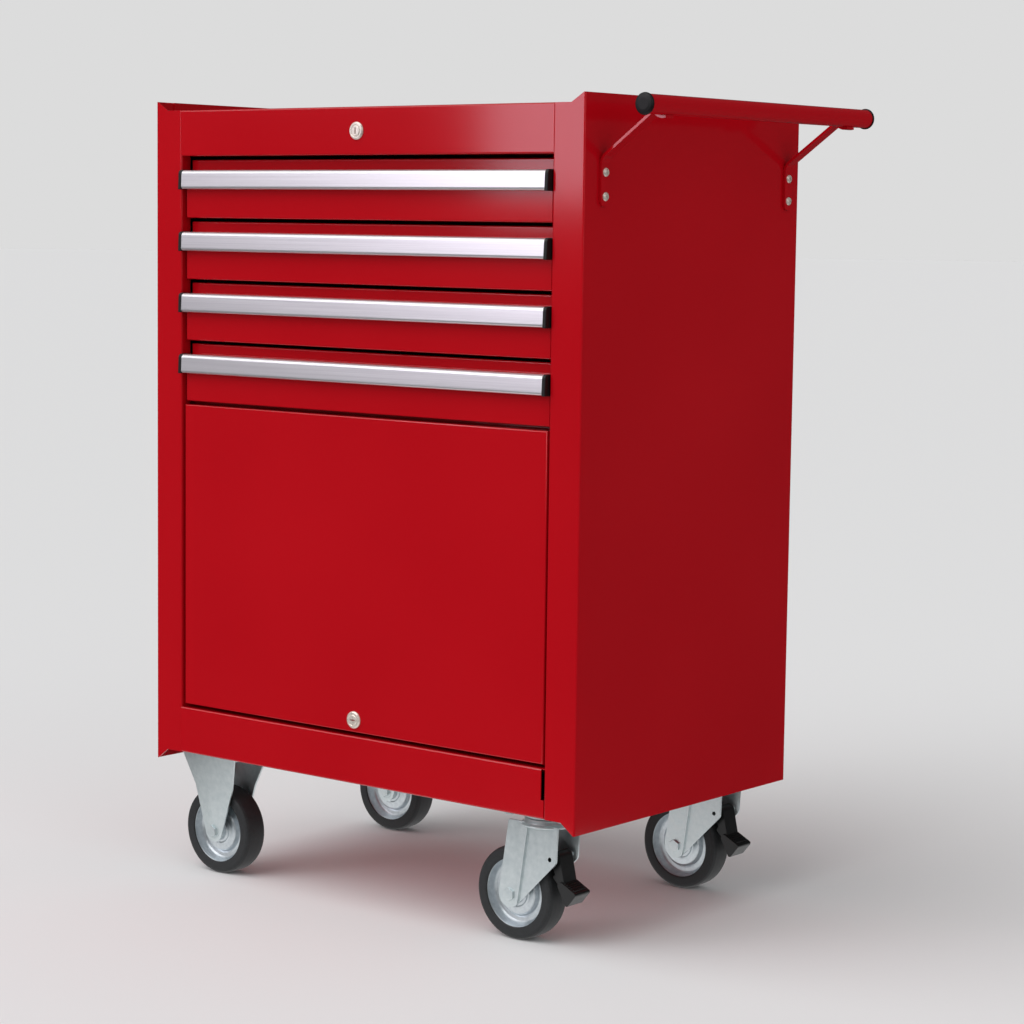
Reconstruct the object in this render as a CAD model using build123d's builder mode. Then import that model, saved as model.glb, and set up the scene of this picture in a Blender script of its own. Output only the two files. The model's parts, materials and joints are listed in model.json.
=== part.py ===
from build123d import *
import math
import os

os.makedirs("parts", exist_ok=True)

# A roller tool cabinet of folded sheet steel: four drawers over a flip-up door, a push
# handle on the right, two rigid casters on the left and two braked swivel casters on the right.
# Lengths are in millimetres. While a piece is built, x runs to the right across the front,
# y runs from the front face of the posts to the back, and z runs up from the floor.

# Sheet-metal body
cabinet_width = 616.0
cabinet_depth = 392.0
sheet = 1.2
bend_radius = 2.0
post_width = 40.5
post_return = 14.0
rear_flange = 15.0
hem = 12.0
corner_cut_run = 18.0
rail_setdown = 10.0
rail_lift = 12.0
seam = 0.2
overrun = 5.0

# Front, from the bottom rail up
panel_gap = 4.0
bottom_rail_height = 53.0
door_height = 347.0
drawer_count = 4
drawer_front_height = 65.4
top_rail_height = 51.4
side_gap = 3.5

# Rails, tray, pan and shelf
rail_top_flange = 26.0
rail_lower_flange = 18.0
sill_flange = 18.0
sill_lip = 8.0
toe_flange = 10.0
rail_notch_width = 4.0
rail_notch_height = 33.0
tray_depth = 12.0
tray_flange = 8.0
pan_sheet = 1.5
pan_flange = 8.0
shelf_drop = 1.6
shelf_front = 24.0
shelf_flange = 10.0
notch_clearance = 0.3

# Uprights that carry the slides
upright_width = 30.0
upright_screw_gap = 4.0

# Drawer slides: fixed rail, ball cage, runner
slide_front = 20.0
slide_thickness = 12.7
slide_height = 35.0
slide_sheet = 1.2
slide_lip = 8.8
runner_height = 24.0
runner_lip = 9.0
cage_length = 80.0
cage_sheet = 0.6
ball_play = 0.2
balls_per_row = 6

# Drawer boxes
drawer_sheet = 1.0
drawer_recess = 5.0
front_return = 12.0
finger_recess = 9.0
floor_rise = 12.0
box_wall = 41.0

# Drawer trims and their end caps
trim_drop = 12.0
trim_height = 21.0
trim_reach = 11.5
trim_lean = 2.0
trim_wall = 1.6
trim_round = 4.0
trim_setback = 2.0
cap_length = 4.5
cap_skin = 0.6

# Door
door_recess = 2.0
door_flange = 12.8
pivot_depth = 7.0
pivot_drop = 9.0
pivot_radius = 2.5
pivot_head_radius = 4.5
pivot_head = 2.0
pivot_engagement = 6.5
running_clearance = 0.05

# Cam locks
lock_face_radius = 9.5
lock_face = 2.5
lock_barrel_radius = 8.0
lock_barrel = 20.0
lock_plug_radius = 6.0
lock_nut_radius = 11.0
lock_nut = 4.0
keyway_width = 1.6
keyway_height = 7.0
keyway_depth = 4.0
plug_proud = 0.4
cam_neck_radius = 3.5
cam_length = 30.0
cam_width = 14.0
cam_sheet = 2.5
door_lock_rise = 14.0

# Lock shaft and lock bar
lock_shaft_radius = 4.0
lock_lift = 7.0
crank_pin_radius = 1.5
crank_slot_play = 0.5
lock_bar_width = 26.0
lock_bar_sheet = 2.5
lock_bar_gap = 10.0
bar_room = 12.1
shaft_bar_gap = 0.5
finger_width = 16.0
finger_depth = 3.0
finger_inset = 16.0
finger_sheet = 2.0
finger_clearance = 1.5
finger_slot_play = 4.0
bar_head = 3.0
guide_height = 20.0
guide_sheet = 1.2
guide_clearance = 0.3
guide_share = 0.55

# Push handle
handle_offset = 77.0
handle_drop = 13.5
handle_radius = 10.0
handle_wall = 1.5
handle_overhang = 39.5
cap_flange_radius = 11.3
cap_flange = 4.0
cap_plug = 15.0
bracket_inset_front = 31.3
bracket_inset_rear = 24.0
bracket_width = 14.0
bracket_sheet = 3.0
bracket_tab = 50.0
bracket_root_drop = 50.5
saddle_join_deg = 25.0
seat_gap = 0.1
screw_radius = 2.2
screw_head_radius = 4.5
screw_head = 2.6
screw_tail = 9.0
screw_first_drop = 15.5
screw_spacing = 24.5
hole_clearance = 0.1

# Casters
caster_height = 145.7
caster_inset_x = 68.0
caster_margin = 1.0
caster_plate_x = 90.0
caster_plate_y = 60.0
caster_plate = 2.5
bolt_spacing_x = 72.0
bolt_spacing_y = 44.0
bolt_radius = 4.0
bolt_head_radius = 6.5
bolt_head = 5.0
weld_nut_radius = 7.0
weld_nut = 6.0
wheel_radius = 51.0
tyre_width = 30.0
tyre_shoulder = 4.5
rim_radius = 42.0
rim_half = 13.0
rim_lip = 3.0
dish_radius = 30.0
dish_depth = 8.0
hub_radius = 12.0
hub_web = 9.0
axle_radius = 5.0
axle_head_radius = 7.5
axle_head = 5.0
fork_clearance = 2.5
fork_sheet = 2.5
fork_boss_radius = 13.0
fork_top_half = 29.0
swivel_trail = 35.0
race_radius = 26.0
race_height = 6.2
race_gap = 0.3
crown_radius = 30.0
crown = 3.0
crown_ring = 5.7
kingpin_radius = 6.0
kingpin_head_radius = 10.0
kingpin_head = 3.2

# Brake pedals, whose places follow the wheel's radius
pedal_pivot_shares = (1.02, 0.88)
pedal_knee_shares = (1.20, 0.33)
pedal_tip_shares = (1.66, 0.19)
pedal_heel_shares = (1.39, -0.03)
shoe_angle_deg = 25.0
shoe_gap = 3.0
shoe_radius = 3.0
pedal_boss_radius = 7.0
pedal_lug_radius = 8.5
pedal_knee_radius = 4.0
pedal_tip_radius = 2.5
pedal_pin_radius = 3.0
pedal_width = 26.0
pedal_tread = 34.0

# Places that follow from the sizes
half_width = cabinet_width / 2
inner_x = half_width - sheet
opening_half = half_width - post_width
side_bottom = caster_height - rail_lift - sheet
toe_z = side_bottom + rail_lift
sill_z = toe_z + bottom_rail_height
door_bottom = sill_z + panel_gap
door_top = door_bottom + door_height
drawer_pitch = drawer_front_height + panel_gap
drawers_bottom = door_top + panel_gap
front_bottoms = [drawers_bottom + level * drawer_pitch for level in range(drawer_count)]
top_rail_bottom = drawers_bottom + drawer_count * drawer_pitch
top_rail_top = top_rail_bottom + top_rail_height
side_top = top_rail_top + rail_setdown
back_y = cabinet_depth - 2 * sheet
tray_back = back_y - sheet
bar_back = back_y - bar_room
bar_front = bar_back - lock_bar_sheet
slide_back = bar_front - lock_bar_gap
tray_floor = top_rail_top - tray_depth
shelf_top = drawers_bottom - shelf_drop
panel_half = opening_half - side_gap
rail_half = opening_half - seam
box_half = opening_half - slide_thickness
drawer_front_y = drawer_recess
lock_z = (top_rail_bottom + top_rail_top) / 2
door_lock_z = door_bottom + door_lock_rise
door_pivot_y = door_recess + pivot_depth
door_pivot_z = door_top - pivot_drop
handle_x = half_width + handle_offset
handle_z = side_top - handle_drop
bracket_places = (bracket_inset_front, cabinet_depth - bracket_inset_rear)
handle_front = bracket_places[0] - handle_overhang
handle_back = bracket_places[1] + handle_overhang
saddle_radius = handle_radius + seat_gap
saddle_outer = saddle_radius + bracket_sheet
caster_x = half_width - caster_inset_x
caster_inset_y = post_return + caster_margin + caster_plate_y / 2
caster_places = (caster_inset_y, cabinet_depth - caster_inset_y)
caster_names = ("front", "rear")
plate_bottom = caster_height - caster_plate
fork_inner = tyre_width / 2 + fork_clearance
fork_outer = fork_inner + fork_sheet
swivel_axle_x = caster_x - swivel_trail

# The shared origin lies on the floor under the middle of the whole outline
outline_center_x = (handle_x + saddle_outer - half_width) / 2
outline_center_y = (handle_front + handle_back) / 2
to_origin = Location((-outline_center_x, -outline_center_y, 0))


def slab(x_span, y_span, z_span, mode=Mode.ADD):
    """Add or cut a straight-sided block between two planes each way."""
    spans = (x_span, y_span, z_span)
    with Locations(tuple((low + high) / 2 for low, high in spans)):
        Box(*(high - low for low, high in spans), mode=mode)


def bar(plane, place, radius, length, mode=Mode.ADD):
    """Add or cut a round bar that stands on a plane."""
    with BuildSketch(plane) as end:
        with Locations(place):
            Circle(radius)
    extrude(end.sketch, amount=length, mode=mode)


def across(y):
    """Plane across the cabinet at depth y; a negative length goes to the back."""
    return Plane.XZ.offset(-y)


def finish(piece, name):
    """Label a finished piece, set it about the shared origin and write it."""
    shape = piece.part.moved(to_origin)
    shape.label = name
    export_step(shape, f"parts/{name}.step")


# Side panels: one sheet each, folded to a post in front and a flange at the back
post_cut_x = half_width - corner_cut_run
with BuildPart() as side_blank:
    with BuildSketch(Plane.XY.offset(side_bottom)) as fold:
        with BuildLine():
            Polyline(
                (half_width, cabinet_depth),
                (half_width, 0),
                (opening_half, 0),
                (opening_half, post_return),
                (opening_half + sheet, post_return),
                (opening_half + sheet, sheet),
                (inner_x, sheet),
                (inner_x, cabinet_depth - sheet),
                (half_width - rear_flange, cabinet_depth - sheet),
                (half_width - rear_flange, cabinet_depth),
                close=True,
            )
        make_face()
        outer_bends = ((half_width, cabinet_depth), (half_width, 0), (opening_half, 0))
        inner_bends = ((inner_x, cabinet_depth - sheet), (inner_x, sheet), (opening_half + sheet, sheet))
        for bends, radius in ((outer_bends, bend_radius), (inner_bends, bend_radius - sheet)):
            fillet([fold.vertices().sort_by_distance((*bend, 0))[0] for bend in bends], radius)
    extrude(amount=side_top - side_bottom)
    for end, rail_end in ((side_top + overrun, top_rail_top), (side_bottom - overrun, toe_z)):
        slab(
            (opening_half - overrun, post_cut_x),
            (-overrun, post_return + overrun),
            sorted((end, rail_end)),
            mode=Mode.SUBTRACT,
        )
    for end, rail_end in ((side_top, top_rail_top), (side_bottom, toe_z)):
        with BuildSketch(across(-overrun)) as slant:
            with BuildLine():
                Polyline((half_width, end), (post_cut_x, rail_end), (post_cut_x, end), close=True)
            make_face()
        extrude(amount=-overrun - sheet, mode=Mode.SUBTRACT)
    slab((inner_x - sheet, inner_x), (rail_top_flange, tray_back), (side_top - hem, side_top))
    bar(
        Plane.YZ.offset(opening_half - overrun),
        (door_pivot_y, door_pivot_z),
        pivot_radius + running_clearance,
        sheet + 2 * overrun,
        mode=Mode.SUBTRACT,
    )

bracket_root = handle_z - bracket_root_drop
screw_heights = [bracket_root - screw_first_drop - step * screw_spacing for step in range(2)]
screw_places = [(y, z) for y in bracket_places for z in screw_heights]

with BuildPart() as right_side_panel:
    add(side_blank.part)
    with BuildSketch(Plane.YZ.offset(inner_x - overrun)) as screw_holes:
        with Locations(*screw_places):
            Circle(screw_radius + hole_clearance)
    extrude(amount=sheet + 2 * overrun, mode=Mode.SUBTRACT)
finish(right_side_panel, "right_side_panel")

with BuildPart() as left_side_panel:
    mirror(side_blank.part, about=Plane.YZ)
finish(left_side_panel, "left_side_panel")

# Back panel with a hemmed top and two strap guides for the lock bar
back_half = inner_x - bend_radius
guide_half = lock_bar_width / 2 + guide_clearance
guide_front = bar_front - guide_clearance
guide_rise = guide_share * drawer_pitch
guide_heights = [bottom + guide_rise for bottom in (front_bottoms[0], front_bottoms[-1])]
with BuildPart() as back_panel:
    slab((-back_half, back_half), (back_y, back_y + sheet), (toe_z, side_top))
    slab((-back_half, back_half), (tray_back, back_y), (side_top - hem, side_top))
    for guide_z in guide_heights:
        guide_span = (guide_z - guide_height / 2, guide_z + guide_height / 2)
        slab(
            (-guide_half - guide_sheet, guide_half + guide_sheet),
            (guide_front - guide_sheet, back_y),
            guide_span,
        )
        slab((-guide_half, guide_half), (guide_front, back_y), guide_span, mode=Mode.SUBTRACT)
finish(back_panel, "back_panel")

# Top tray: the floor of the recessed top, with tabs behind both posts and a flange at the back
tab_start = opening_half + sheet + notch_clearance
tray_front = rail_top_flange
with BuildPart() as top_tray:
    tray_span = (tray_floor - sheet, tray_floor)
    slab((-inner_x, inner_x), (tray_front, tray_back), tray_span)
    for tab_side in (-1, 1):
        tab_ends = sorted((tab_side * tab_start, tab_side * inner_x))
        slab(tab_ends, (bend_radius, tray_front), tray_span)
    slab(
        (-inner_x, inner_x),
        (tray_back - sheet, tray_back),
        (tray_floor - sheet - tray_flange, tray_floor - sheet),
    )
finish(top_tray, "top_tray")

# Bottom pan with weld nuts for the caster bolts and notches for the post returns
bolt_places = [
    (side * caster_x + i * bolt_spacing_x / 2, y + j * bolt_spacing_y / 2)
    for side in (-1, 1)
    for y in caster_places
    for i in (-1, 1)
    for j in (-1, 1)
]
pan_bottom = toe_z + sheet
pan_top = pan_bottom + pan_sheet
with BuildPart() as bottom_pan:
    slab((-inner_x, inner_x), (bend_radius, back_y), (pan_bottom, pan_top))
    for wall_side in (-1, 1):
        notch_ends = (
            wall_side * (opening_half - notch_clearance),
            wall_side * (opening_half + sheet + notch_clearance),
        )
        slab(
            sorted(notch_ends),
            (0, post_return + notch_clearance),
            (pan_bottom - overrun, pan_top + overrun),
            mode=Mode.SUBTRACT,
        )
        flange_ends = sorted((wall_side * (inner_x - sheet), wall_side * inner_x))
        slab(flange_ends, (post_return, back_y), (pan_top, pan_top + pan_flange))
    slab((-inner_x, inner_x), (back_y - sheet, back_y), (pan_top, pan_top + pan_flange))
    with BuildSketch(Plane.XY.offset(pan_top)) as weld_nuts:
        with Locations(*bolt_places):
            RegularPolygon(weld_nut_radius, 6)
    extrude(amount=weld_nut)
    with BuildSketch(Plane.XY.offset(pan_bottom)) as bolt_holes:
        with Locations(*bolt_places):
            Circle(bolt_radius + hole_clearance)
    extrude(amount=pan_sheet + weld_nut, mode=Mode.SUBTRACT)
finish(bottom_pan, "bottom_pan")

# Divider shelf between the drawers and the lower compartment
with BuildPart() as divider_shelf:
    slab((-inner_x, inner_x), (shelf_front, back_y), (shelf_top - sheet, shelf_top))
    flange_span = (shelf_top - sheet - shelf_flange, shelf_top - sheet)
    slab((-inner_x, inner_x), (shelf_front, shelf_front + sheet), flange_span)
    slab((-inner_x, inner_x), (back_y - sheet, back_y), flange_span)
    for wall_side in (-1, 1):
        flange_ends = sorted((wall_side * (inner_x - sheet), wall_side * inner_x))
        slab(flange_ends, (shelf_front, back_y), flange_span)
finish(divider_shelf, "divider_shelf")

# Front rails, each with end plates against the post returns; the top one closes the tray's front edge
with BuildPart() as top_front_rail:
    slab((-rail_half, rail_half), (0, sheet), (top_rail_bottom, top_rail_top))
    slab((-rail_half, rail_half), (0, rail_top_flange), (top_rail_top - sheet, top_rail_top))
    slab((-rail_half, rail_half), (tray_front - sheet, tray_front), (tray_floor - sheet, top_rail_top))
    lower_span = (top_rail_bottom, top_rail_bottom + sheet)
    slab((-rail_half, rail_half), (0, rail_lower_flange), lower_span)
    for end_side in (-1, 1):
        end_span = sorted((end_side * (rail_half - sheet), end_side * rail_half))
        slab(end_span, (0, post_return), (top_rail_bottom, top_rail_top))
    bar(across(-overrun), (0, lock_z), lock_barrel_radius + hole_clearance, -2 * overrun, Mode.SUBTRACT)
finish(top_front_rail, "top_front_rail")

with BuildPart() as bottom_front_rail:
    slab((-rail_half, rail_half), (0, sheet), (toe_z, sill_z))
    slab((-rail_half, rail_half), (0, sill_flange + sheet), (sill_z - sheet, sill_z))
    slab((-rail_half, rail_half), (sill_flange, sill_flange + sheet), (sill_z - sill_lip, sill_z))
    slab((-rail_half, rail_half), (0, toe_flange), (toe_z, toe_z + sheet))
    for end_side in (-1, 1):
        end_span = sorted((end_side * (rail_half - sheet), end_side * rail_half))
        slab(end_span, (0, post_return), (pan_top, sill_z))
    slab(
        (rail_half - rail_notch_width, rail_half + overrun),
        (-overrun, sheet),
        (sill_z - rail_notch_height, sill_z + overrun),
        mode=Mode.SUBTRACT,
    )
finish(bottom_front_rail, "bottom_front_rail")

# Uprights: four folded channels that carry the slides, standing on the shelf
screw_room = screw_radius + upright_screw_gap
upright_starts = (bracket_places[0] + screw_room, bracket_places[1] - screw_room - upright_width)
with BuildPart() as slide_uprights:
    for start in upright_starts:
        upright_span = (shelf_top, tray_floor - sheet)
        slab((opening_half, inner_x), (start, start + upright_width), upright_span)
        slab(
            (opening_half + sheet, inner_x + overrun),
            (start + sheet, start + upright_width - sheet),
            upright_span,
            mode=Mode.SUBTRACT,
        )
    mirror(about=Plane.YZ)
finish(slide_uprights, "slide_uprights")

# Fixed slide rails: C sections on the uprights, open towards the drawer
slide_middles = [bottom + floor_rise + box_wall / 2 for bottom in front_bottoms]
rail_web = opening_half - slide_sheet
slide_span = (slide_front, slide_back)
with BuildPart() as slide_outer_rails:
    for middle in slide_middles:
        low, high = middle - slide_height / 2, middle + slide_height / 2
        slab((rail_web, opening_half), slide_span, (low, high))
        slab((rail_web - slide_lip, rail_web), slide_span, (high - slide_sheet, high))
        slab((rail_web - slide_lip, rail_web), slide_span, (low, low + slide_sheet))
    mirror(about=Plane.YZ)
finish(slide_outer_rails, "slide_outer_rails")

# Lock bar places, shared by the bar, the shaft and the slots in the drawer floors
finger_y = slide_back - finger_inset
crank_radius = lock_lift / math.sqrt(2)
crank_offset = lock_lift / 2


def drawer_box(bottom):
    """Folded drawer: a pan, a tall front set back above its pull, a slot for the lock finger."""
    floor_z = bottom + floor_rise
    top = bottom + drawer_front_height
    back = slide_back
    inside = drawer_front_y + drawer_sheet
    returned = inside + front_return
    ledge = top - trim_drop
    set_back = (drawer_front_y + finger_recess, inside + finger_recess)
    with BuildPart() as box:
        slab((-panel_half, panel_half), (drawer_front_y, inside), (bottom, ledge))
        slab((-panel_half, panel_half), (inside, returned), (bottom, bottom + drawer_sheet))
        slab((-panel_half, panel_half), (drawer_front_y, set_back[1]), (ledge - drawer_sheet, ledge))
        slab((-panel_half, panel_half), set_back, (ledge - drawer_sheet, top))
        slab((-panel_half, panel_half), (set_back[0], returned), (top - drawer_sheet, top))
        for wall_side in (-1, 1):
            lip = sorted((wall_side * (panel_half - drawer_sheet), wall_side * panel_half))
            slab(lip, (inside, returned), (bottom, ledge))
            slab(lip, (set_back[0], returned), (ledge - drawer_sheet, top))
            wall = sorted((wall_side * (box_half - drawer_sheet), wall_side * box_half))
            slab(wall, (inside, back), (floor_z, floor_z + box_wall))
        slab((-box_half, box_half), (inside, back), (floor_z, floor_z + drawer_sheet))
        slab((-box_half, box_half), (back - drawer_sheet, back), (floor_z, floor_z + box_wall))
        slab(
            (-finger_width / 2 - finger_slot_play, finger_width / 2 + finger_slot_play),
            (finger_y - finger_slot_play, finger_y + finger_depth + finger_slot_play),
            (floor_z - overrun, floor_z + overrun),
            mode=Mode.SUBTRACT,
        )
    return box


def trim_outline(grow):
    """Corner points of the trim's outside, seen from the end, grown in front by a skin."""
    face = drawer_front_y - trim_reach - grow
    return face, face + trim_lean


def drawer_trim(bottom):
    """Extruded pull: a web on the drawer front, a top plate and a lip that leans back."""
    top = bottom + drawer_front_height - trim_drop
    low = top - trim_height
    face, face_top = trim_outline(0)
    half = panel_half - trim_setback
    web = drawer_front_y - trim_wall
    with BuildPart() as trim:
        with BuildSketch(Plane.YZ.offset(-half)) as profile:
            with BuildLine():
                Polyline(
                    (drawer_front_y, low),
                    (drawer_front_y, top),
                    (face_top, top),
                    (face, low),
                    (face + trim_wall, low),
                    (face_top + trim_wall, top - trim_wall),
                    (web, top - trim_wall),
                    (web, low),
                    close=True,
                )
            make_face()
            corners = profile.vertices()
            outer = corners.sort_by_distance((face_top, top, 0))[0]
            inner = corners.sort_by_distance((face_top + trim_wall, top - trim_wall, 0))[0]
            fillet(outer, radius=trim_round)
            fillet(inner, radius=trim_round - trim_wall)
        extrude(amount=2 * half)
    return trim


def trim_caps(bottom):
    """Moulded plugs that close both ends of a trim."""
    top = bottom + drawer_front_height - trim_drop + cap_skin
    low = top - trim_height - 2 * cap_skin
    face, face_top = trim_outline(cap_skin)
    start = panel_half - trim_setback
    with BuildPart() as caps:
        with BuildSketch(Plane.YZ.offset(start)) as profile:
            with BuildLine():
                Polyline(
                    (drawer_front_y, low),
                    (drawer_front_y, top),
                    (face_top, top),
                    (face, low),
                    close=True,
                )
            make_face()
            nose = profile.vertices().sort_by_distance((face_top, top, 0))[0]
            fillet(nose, radius=trim_round)
        extrude(amount=cap_length)
        fillet(caps.faces().sort_by(Axis.X)[-1].edges().sort_by(Axis.Y)[:2], radius=cap_skin)
        mirror(about=Plane.YZ)
    return caps


def drawer_runners(middle):
    """Pair of C sections on the drawer's sides, open outwards."""
    low, high = middle - runner_height / 2, middle + runner_height / 2
    inner, web = box_half, box_half + slide_sheet
    with BuildPart() as runners:
        slab((inner, web), slide_span, (low, high))
        slab((web, web + runner_lip), slide_span, (high - slide_sheet, high))
        slab((web, web + runner_lip), slide_span, (low, low + slide_sheet))
        mirror(about=Plane.YZ)
    return runners


race_inner = runner_height / 2
race_outer = slide_height / 2 - slide_sheet
race_middle = (race_inner + race_outer) / 2
ball_radius = (race_outer - race_inner) / 2 - ball_play
cage_center = (slide_front + slide_back) / 2
ball_pitch = cage_length / balls_per_row
runner_tip = box_half + slide_sheet + runner_lip
cage_outer = (runner_tip + rail_web) / 2 + cage_sheet / 2
cage_tip = rail_web - slide_lip
ball_x = (cage_tip + runner_tip) / 2
ball_row = [(step - (balls_per_row - 1) / 2) * ball_pitch for step in range(balls_per_row)]


def ball_cages(middle):
    """Pair of strip cages, each with a row of balls above and below the runner."""
    cage_span = (cage_center - cage_length / 2, cage_center + cage_length / 2)
    reach = race_middle + cage_sheet / 2
    with BuildPart() as cages:
        slab((cage_outer - cage_sheet, cage_outer), cage_span, (middle - reach, middle + reach))
        for row_side in (-1, 1):
            row_z = middle + row_side * race_middle
            slab((cage_tip, cage_outer), cage_span, (row_z - cage_sheet / 2, row_z + cage_sheet / 2))
            with Locations(*((ball_x, cage_center + step, row_z) for step in ball_row)):
                Sphere(ball_radius)
        mirror(about=Plane.YZ)
    return cages


# Drawers are numbered from the top
for level, (bottom, middle) in enumerate(zip(front_bottoms, slide_middles)):
    number = drawer_count - level
    finish(drawer_box(bottom), f"drawer_{number}_box")
    finish(drawer_trim(bottom), f"drawer_{number}_trim")
    finish(trim_caps(bottom), f"drawer_{number}_trim_caps")
    finish(drawer_runners(middle), f"drawer_{number}_runners")
    finish(ball_cages(middle), f"drawer_{number}_ball_cages")


# Cam locks
def lock_housing(face_y, z):
    """Round face, barrel through the sheet, and the nut behind the sheet."""
    with BuildPart() as housing:
        bar(across(face_y - lock_face), (0, z), lock_face_radius, -lock_face)
        fillet(housing.edges().filter_by(GeomType.CIRCLE).sort_by(Axis.Y)[0], radius=lock_face / 2)
        bar(across(face_y), (0, z), lock_barrel_radius, -lock_barrel)
        with BuildSketch(across(face_y + sheet)) as nut:
            with Locations((0, z)):
                RegularPolygon(lock_nut_radius, 6)
        extrude(amount=-lock_nut)
        bar(
            across(face_y - lock_face - overrun),
            (0, z),
            lock_plug_radius + running_clearance,
            -lock_barrel - lock_face - 2 * overrun,
            Mode.SUBTRACT,
        )
    return housing


def lock_plug(face_y, z, keyway_is_level):
    """Turning plug with a keyway in front and a round neck behind the barrel."""
    front = face_y - lock_face - plug_proud
    back = face_y + lock_barrel
    slot = (keyway_height, keyway_width) if keyway_is_level else (keyway_width, keyway_height)
    with BuildPart() as plug:
        bar(across(front), (0, z), lock_plug_radius, front - back)
        bar(across(back), (0, z), cam_neck_radius, -cam_sheet)
        with BuildSketch(across(front)) as keyway:
            with Locations((0, z)):
                Rectangle(*slot)
        extrude(amount=-keyway_depth, mode=Mode.SUBTRACT)
    return plug


finish(lock_housing(0, lock_z), "top_lock_housing")
finish(lock_plug(0, lock_z, False), "top_lock_plug")
finish(lock_housing(door_recess, door_lock_z), "door_lock_housing")
finish(lock_plug(door_recess, door_lock_z, True), "door_lock_plug")

cam_front = door_recess + lock_barrel
with BuildPart() as door_lock_cam:
    with BuildSketch(across(cam_front)) as cam_face:
        with Locations((0, door_lock_z)):
            Circle(cam_width / 2)
        with Locations((cam_length / 2, door_lock_z)):
            Rectangle(cam_length, cam_width)
        with Locations((0, door_lock_z)):
            Circle(cam_neck_radius + running_clearance, mode=Mode.SUBTRACT)
        fillet(cam_face.vertices().group_by(Axis.X)[-1], radius=cam_sheet)
    extrude(amount=-cam_sheet)
finish(door_lock_cam, "door_lock_cam")

# Lock shaft: clamped on the top plug's neck, with a crank pin at its far end
shaft_front = lock_barrel + shaft_bar_gap
shaft_back = bar_front - shaft_bar_gap
with BuildPart() as top_lock_shaft:
    bar(across(shaft_front), (0, lock_z), lock_plug_radius, -cam_sheet)
    bar(across(shaft_front), (0, lock_z), lock_shaft_radius, shaft_front - shaft_back)
    web_depth = 2 * crank_pin_radius
    pin_place = (-crank_offset, lock_z - crank_offset)
    with BuildSketch(across(shaft_back - web_depth)) as crank_web:
        with BuildLine():
            CenterArc((0, lock_z), lock_shaft_radius, 0, 360)
            CenterArc(pin_place, 2 * crank_pin_radius, 0, 360)
        make_hull()
    extrude(amount=-web_depth)
    pin_end = bar_back + shaft_bar_gap
    bar(across(shaft_back), pin_place, crank_pin_radius, shaft_back - pin_end)
    neck_room = cam_neck_radius + running_clearance
    neck_depth = cam_sheet - shaft_bar_gap + running_clearance
    bar(across(shaft_front), (0, lock_z), neck_room, -neck_depth, Mode.SUBTRACT)
finish(top_lock_shaft, "top_lock_shaft")

# Lock bar: a strip behind the drawers with a slot for the crank pin and a finger per drawer
with BuildPart() as lock_bar:
    bar_span = (drawers_bottom, lock_z + bar_head)
    slab((-lock_bar_width / 2, lock_bar_width / 2), (bar_front, bar_back), bar_span)
    finger_span = (-finger_width / 2, finger_width / 2)
    for bottom in front_bottoms:
        finger_top = bottom + floor_rise - finger_clearance
        slab(finger_span, (finger_y, bar_front), (bottom, bottom + finger_sheet))
        slab(finger_span, (finger_y, finger_y + finger_depth), (bottom, finger_top))
    slot_height = 2 * (crank_pin_radius + crank_slot_play)
    slot_width = 2 * (crank_radius - crank_offset) + slot_height
    slot_x = -(crank_offset + crank_radius) / 2
    with BuildSketch(across(bar_front)) as crank_slot:
        with Locations((slot_x, lock_z - crank_offset)):
            SlotOverall(slot_width + crank_slot_play, slot_height)
    extrude(amount=-lock_bar_sheet, mode=Mode.SUBTRACT)
finish(lock_bar, "lock_bar")

# Door: a pan with flanges all round, hung on two pins near its top corners
with BuildPart() as door_panel:
    door_inside = door_recess + sheet
    flange_back = door_inside + door_flange
    slab((-panel_half, panel_half), (door_recess, flange_back), (door_bottom, door_top))
    slab(
        (-panel_half + sheet, panel_half - sheet),
        (door_inside, flange_back + overrun),
        (door_bottom + sheet, door_top - sheet),
        mode=Mode.SUBTRACT,
    )
    fillet(door_panel.faces().sort_by(Axis.Y)[0].edges(), radius=bend_radius - sheet)
    bar(
        Plane.YZ.offset(-panel_half - overrun),
        (door_pivot_y, door_pivot_z),
        pivot_radius + running_clearance,
        2 * (panel_half + overrun),
        mode=Mode.SUBTRACT,
    )
    bar(
        across(door_recess - overrun),
        (0, door_lock_z),
        lock_barrel_radius + hole_clearance,
        -2 * overrun,
        mode=Mode.SUBTRACT,
    )
finish(door_panel, "door_panel")

with BuildPart() as door_pivot_pins:
    pin_start = panel_half - sheet - pivot_engagement / 2
    head_start = opening_half + sheet
    pin_place = (door_pivot_y, door_pivot_z)
    bar(Plane.YZ.offset(pin_start), pin_place, pivot_radius, head_start - pin_start)
    bar(Plane.YZ.offset(head_start), pin_place, pivot_head_radius, pivot_head)
    mirror(about=Plane.YZ)
finish(door_pivot_pins, "door_pivot_pins")

# Push handle
tube_front, tube_back = handle_front + cap_flange, handle_back - cap_flange
with BuildPart() as handle_tube:
    with BuildSketch(across(tube_front)) as tube_end:
        with Locations((handle_x, handle_z)):
            Circle(handle_radius)
            Circle(handle_radius - handle_wall, mode=Mode.SUBTRACT)
    extrude(amount=tube_front - tube_back)
finish(handle_tube, "handle_tube")

with BuildPart() as handle_end_caps:
    plug_radius = handle_radius - handle_wall - running_clearance
    bar(across(handle_front), (handle_x, handle_z), cap_flange_radius, -cap_flange)
    fillet(handle_end_caps.edges().sort_by(Axis.Y)[0], radius=cap_flange / 2)
    bar(across(tube_front), (handle_x, handle_z), plug_radius, -cap_plug)
    mirror(about=Plane.XZ.offset(-outline_center_y))
finish(handle_end_caps, "handle_end_caps")

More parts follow.
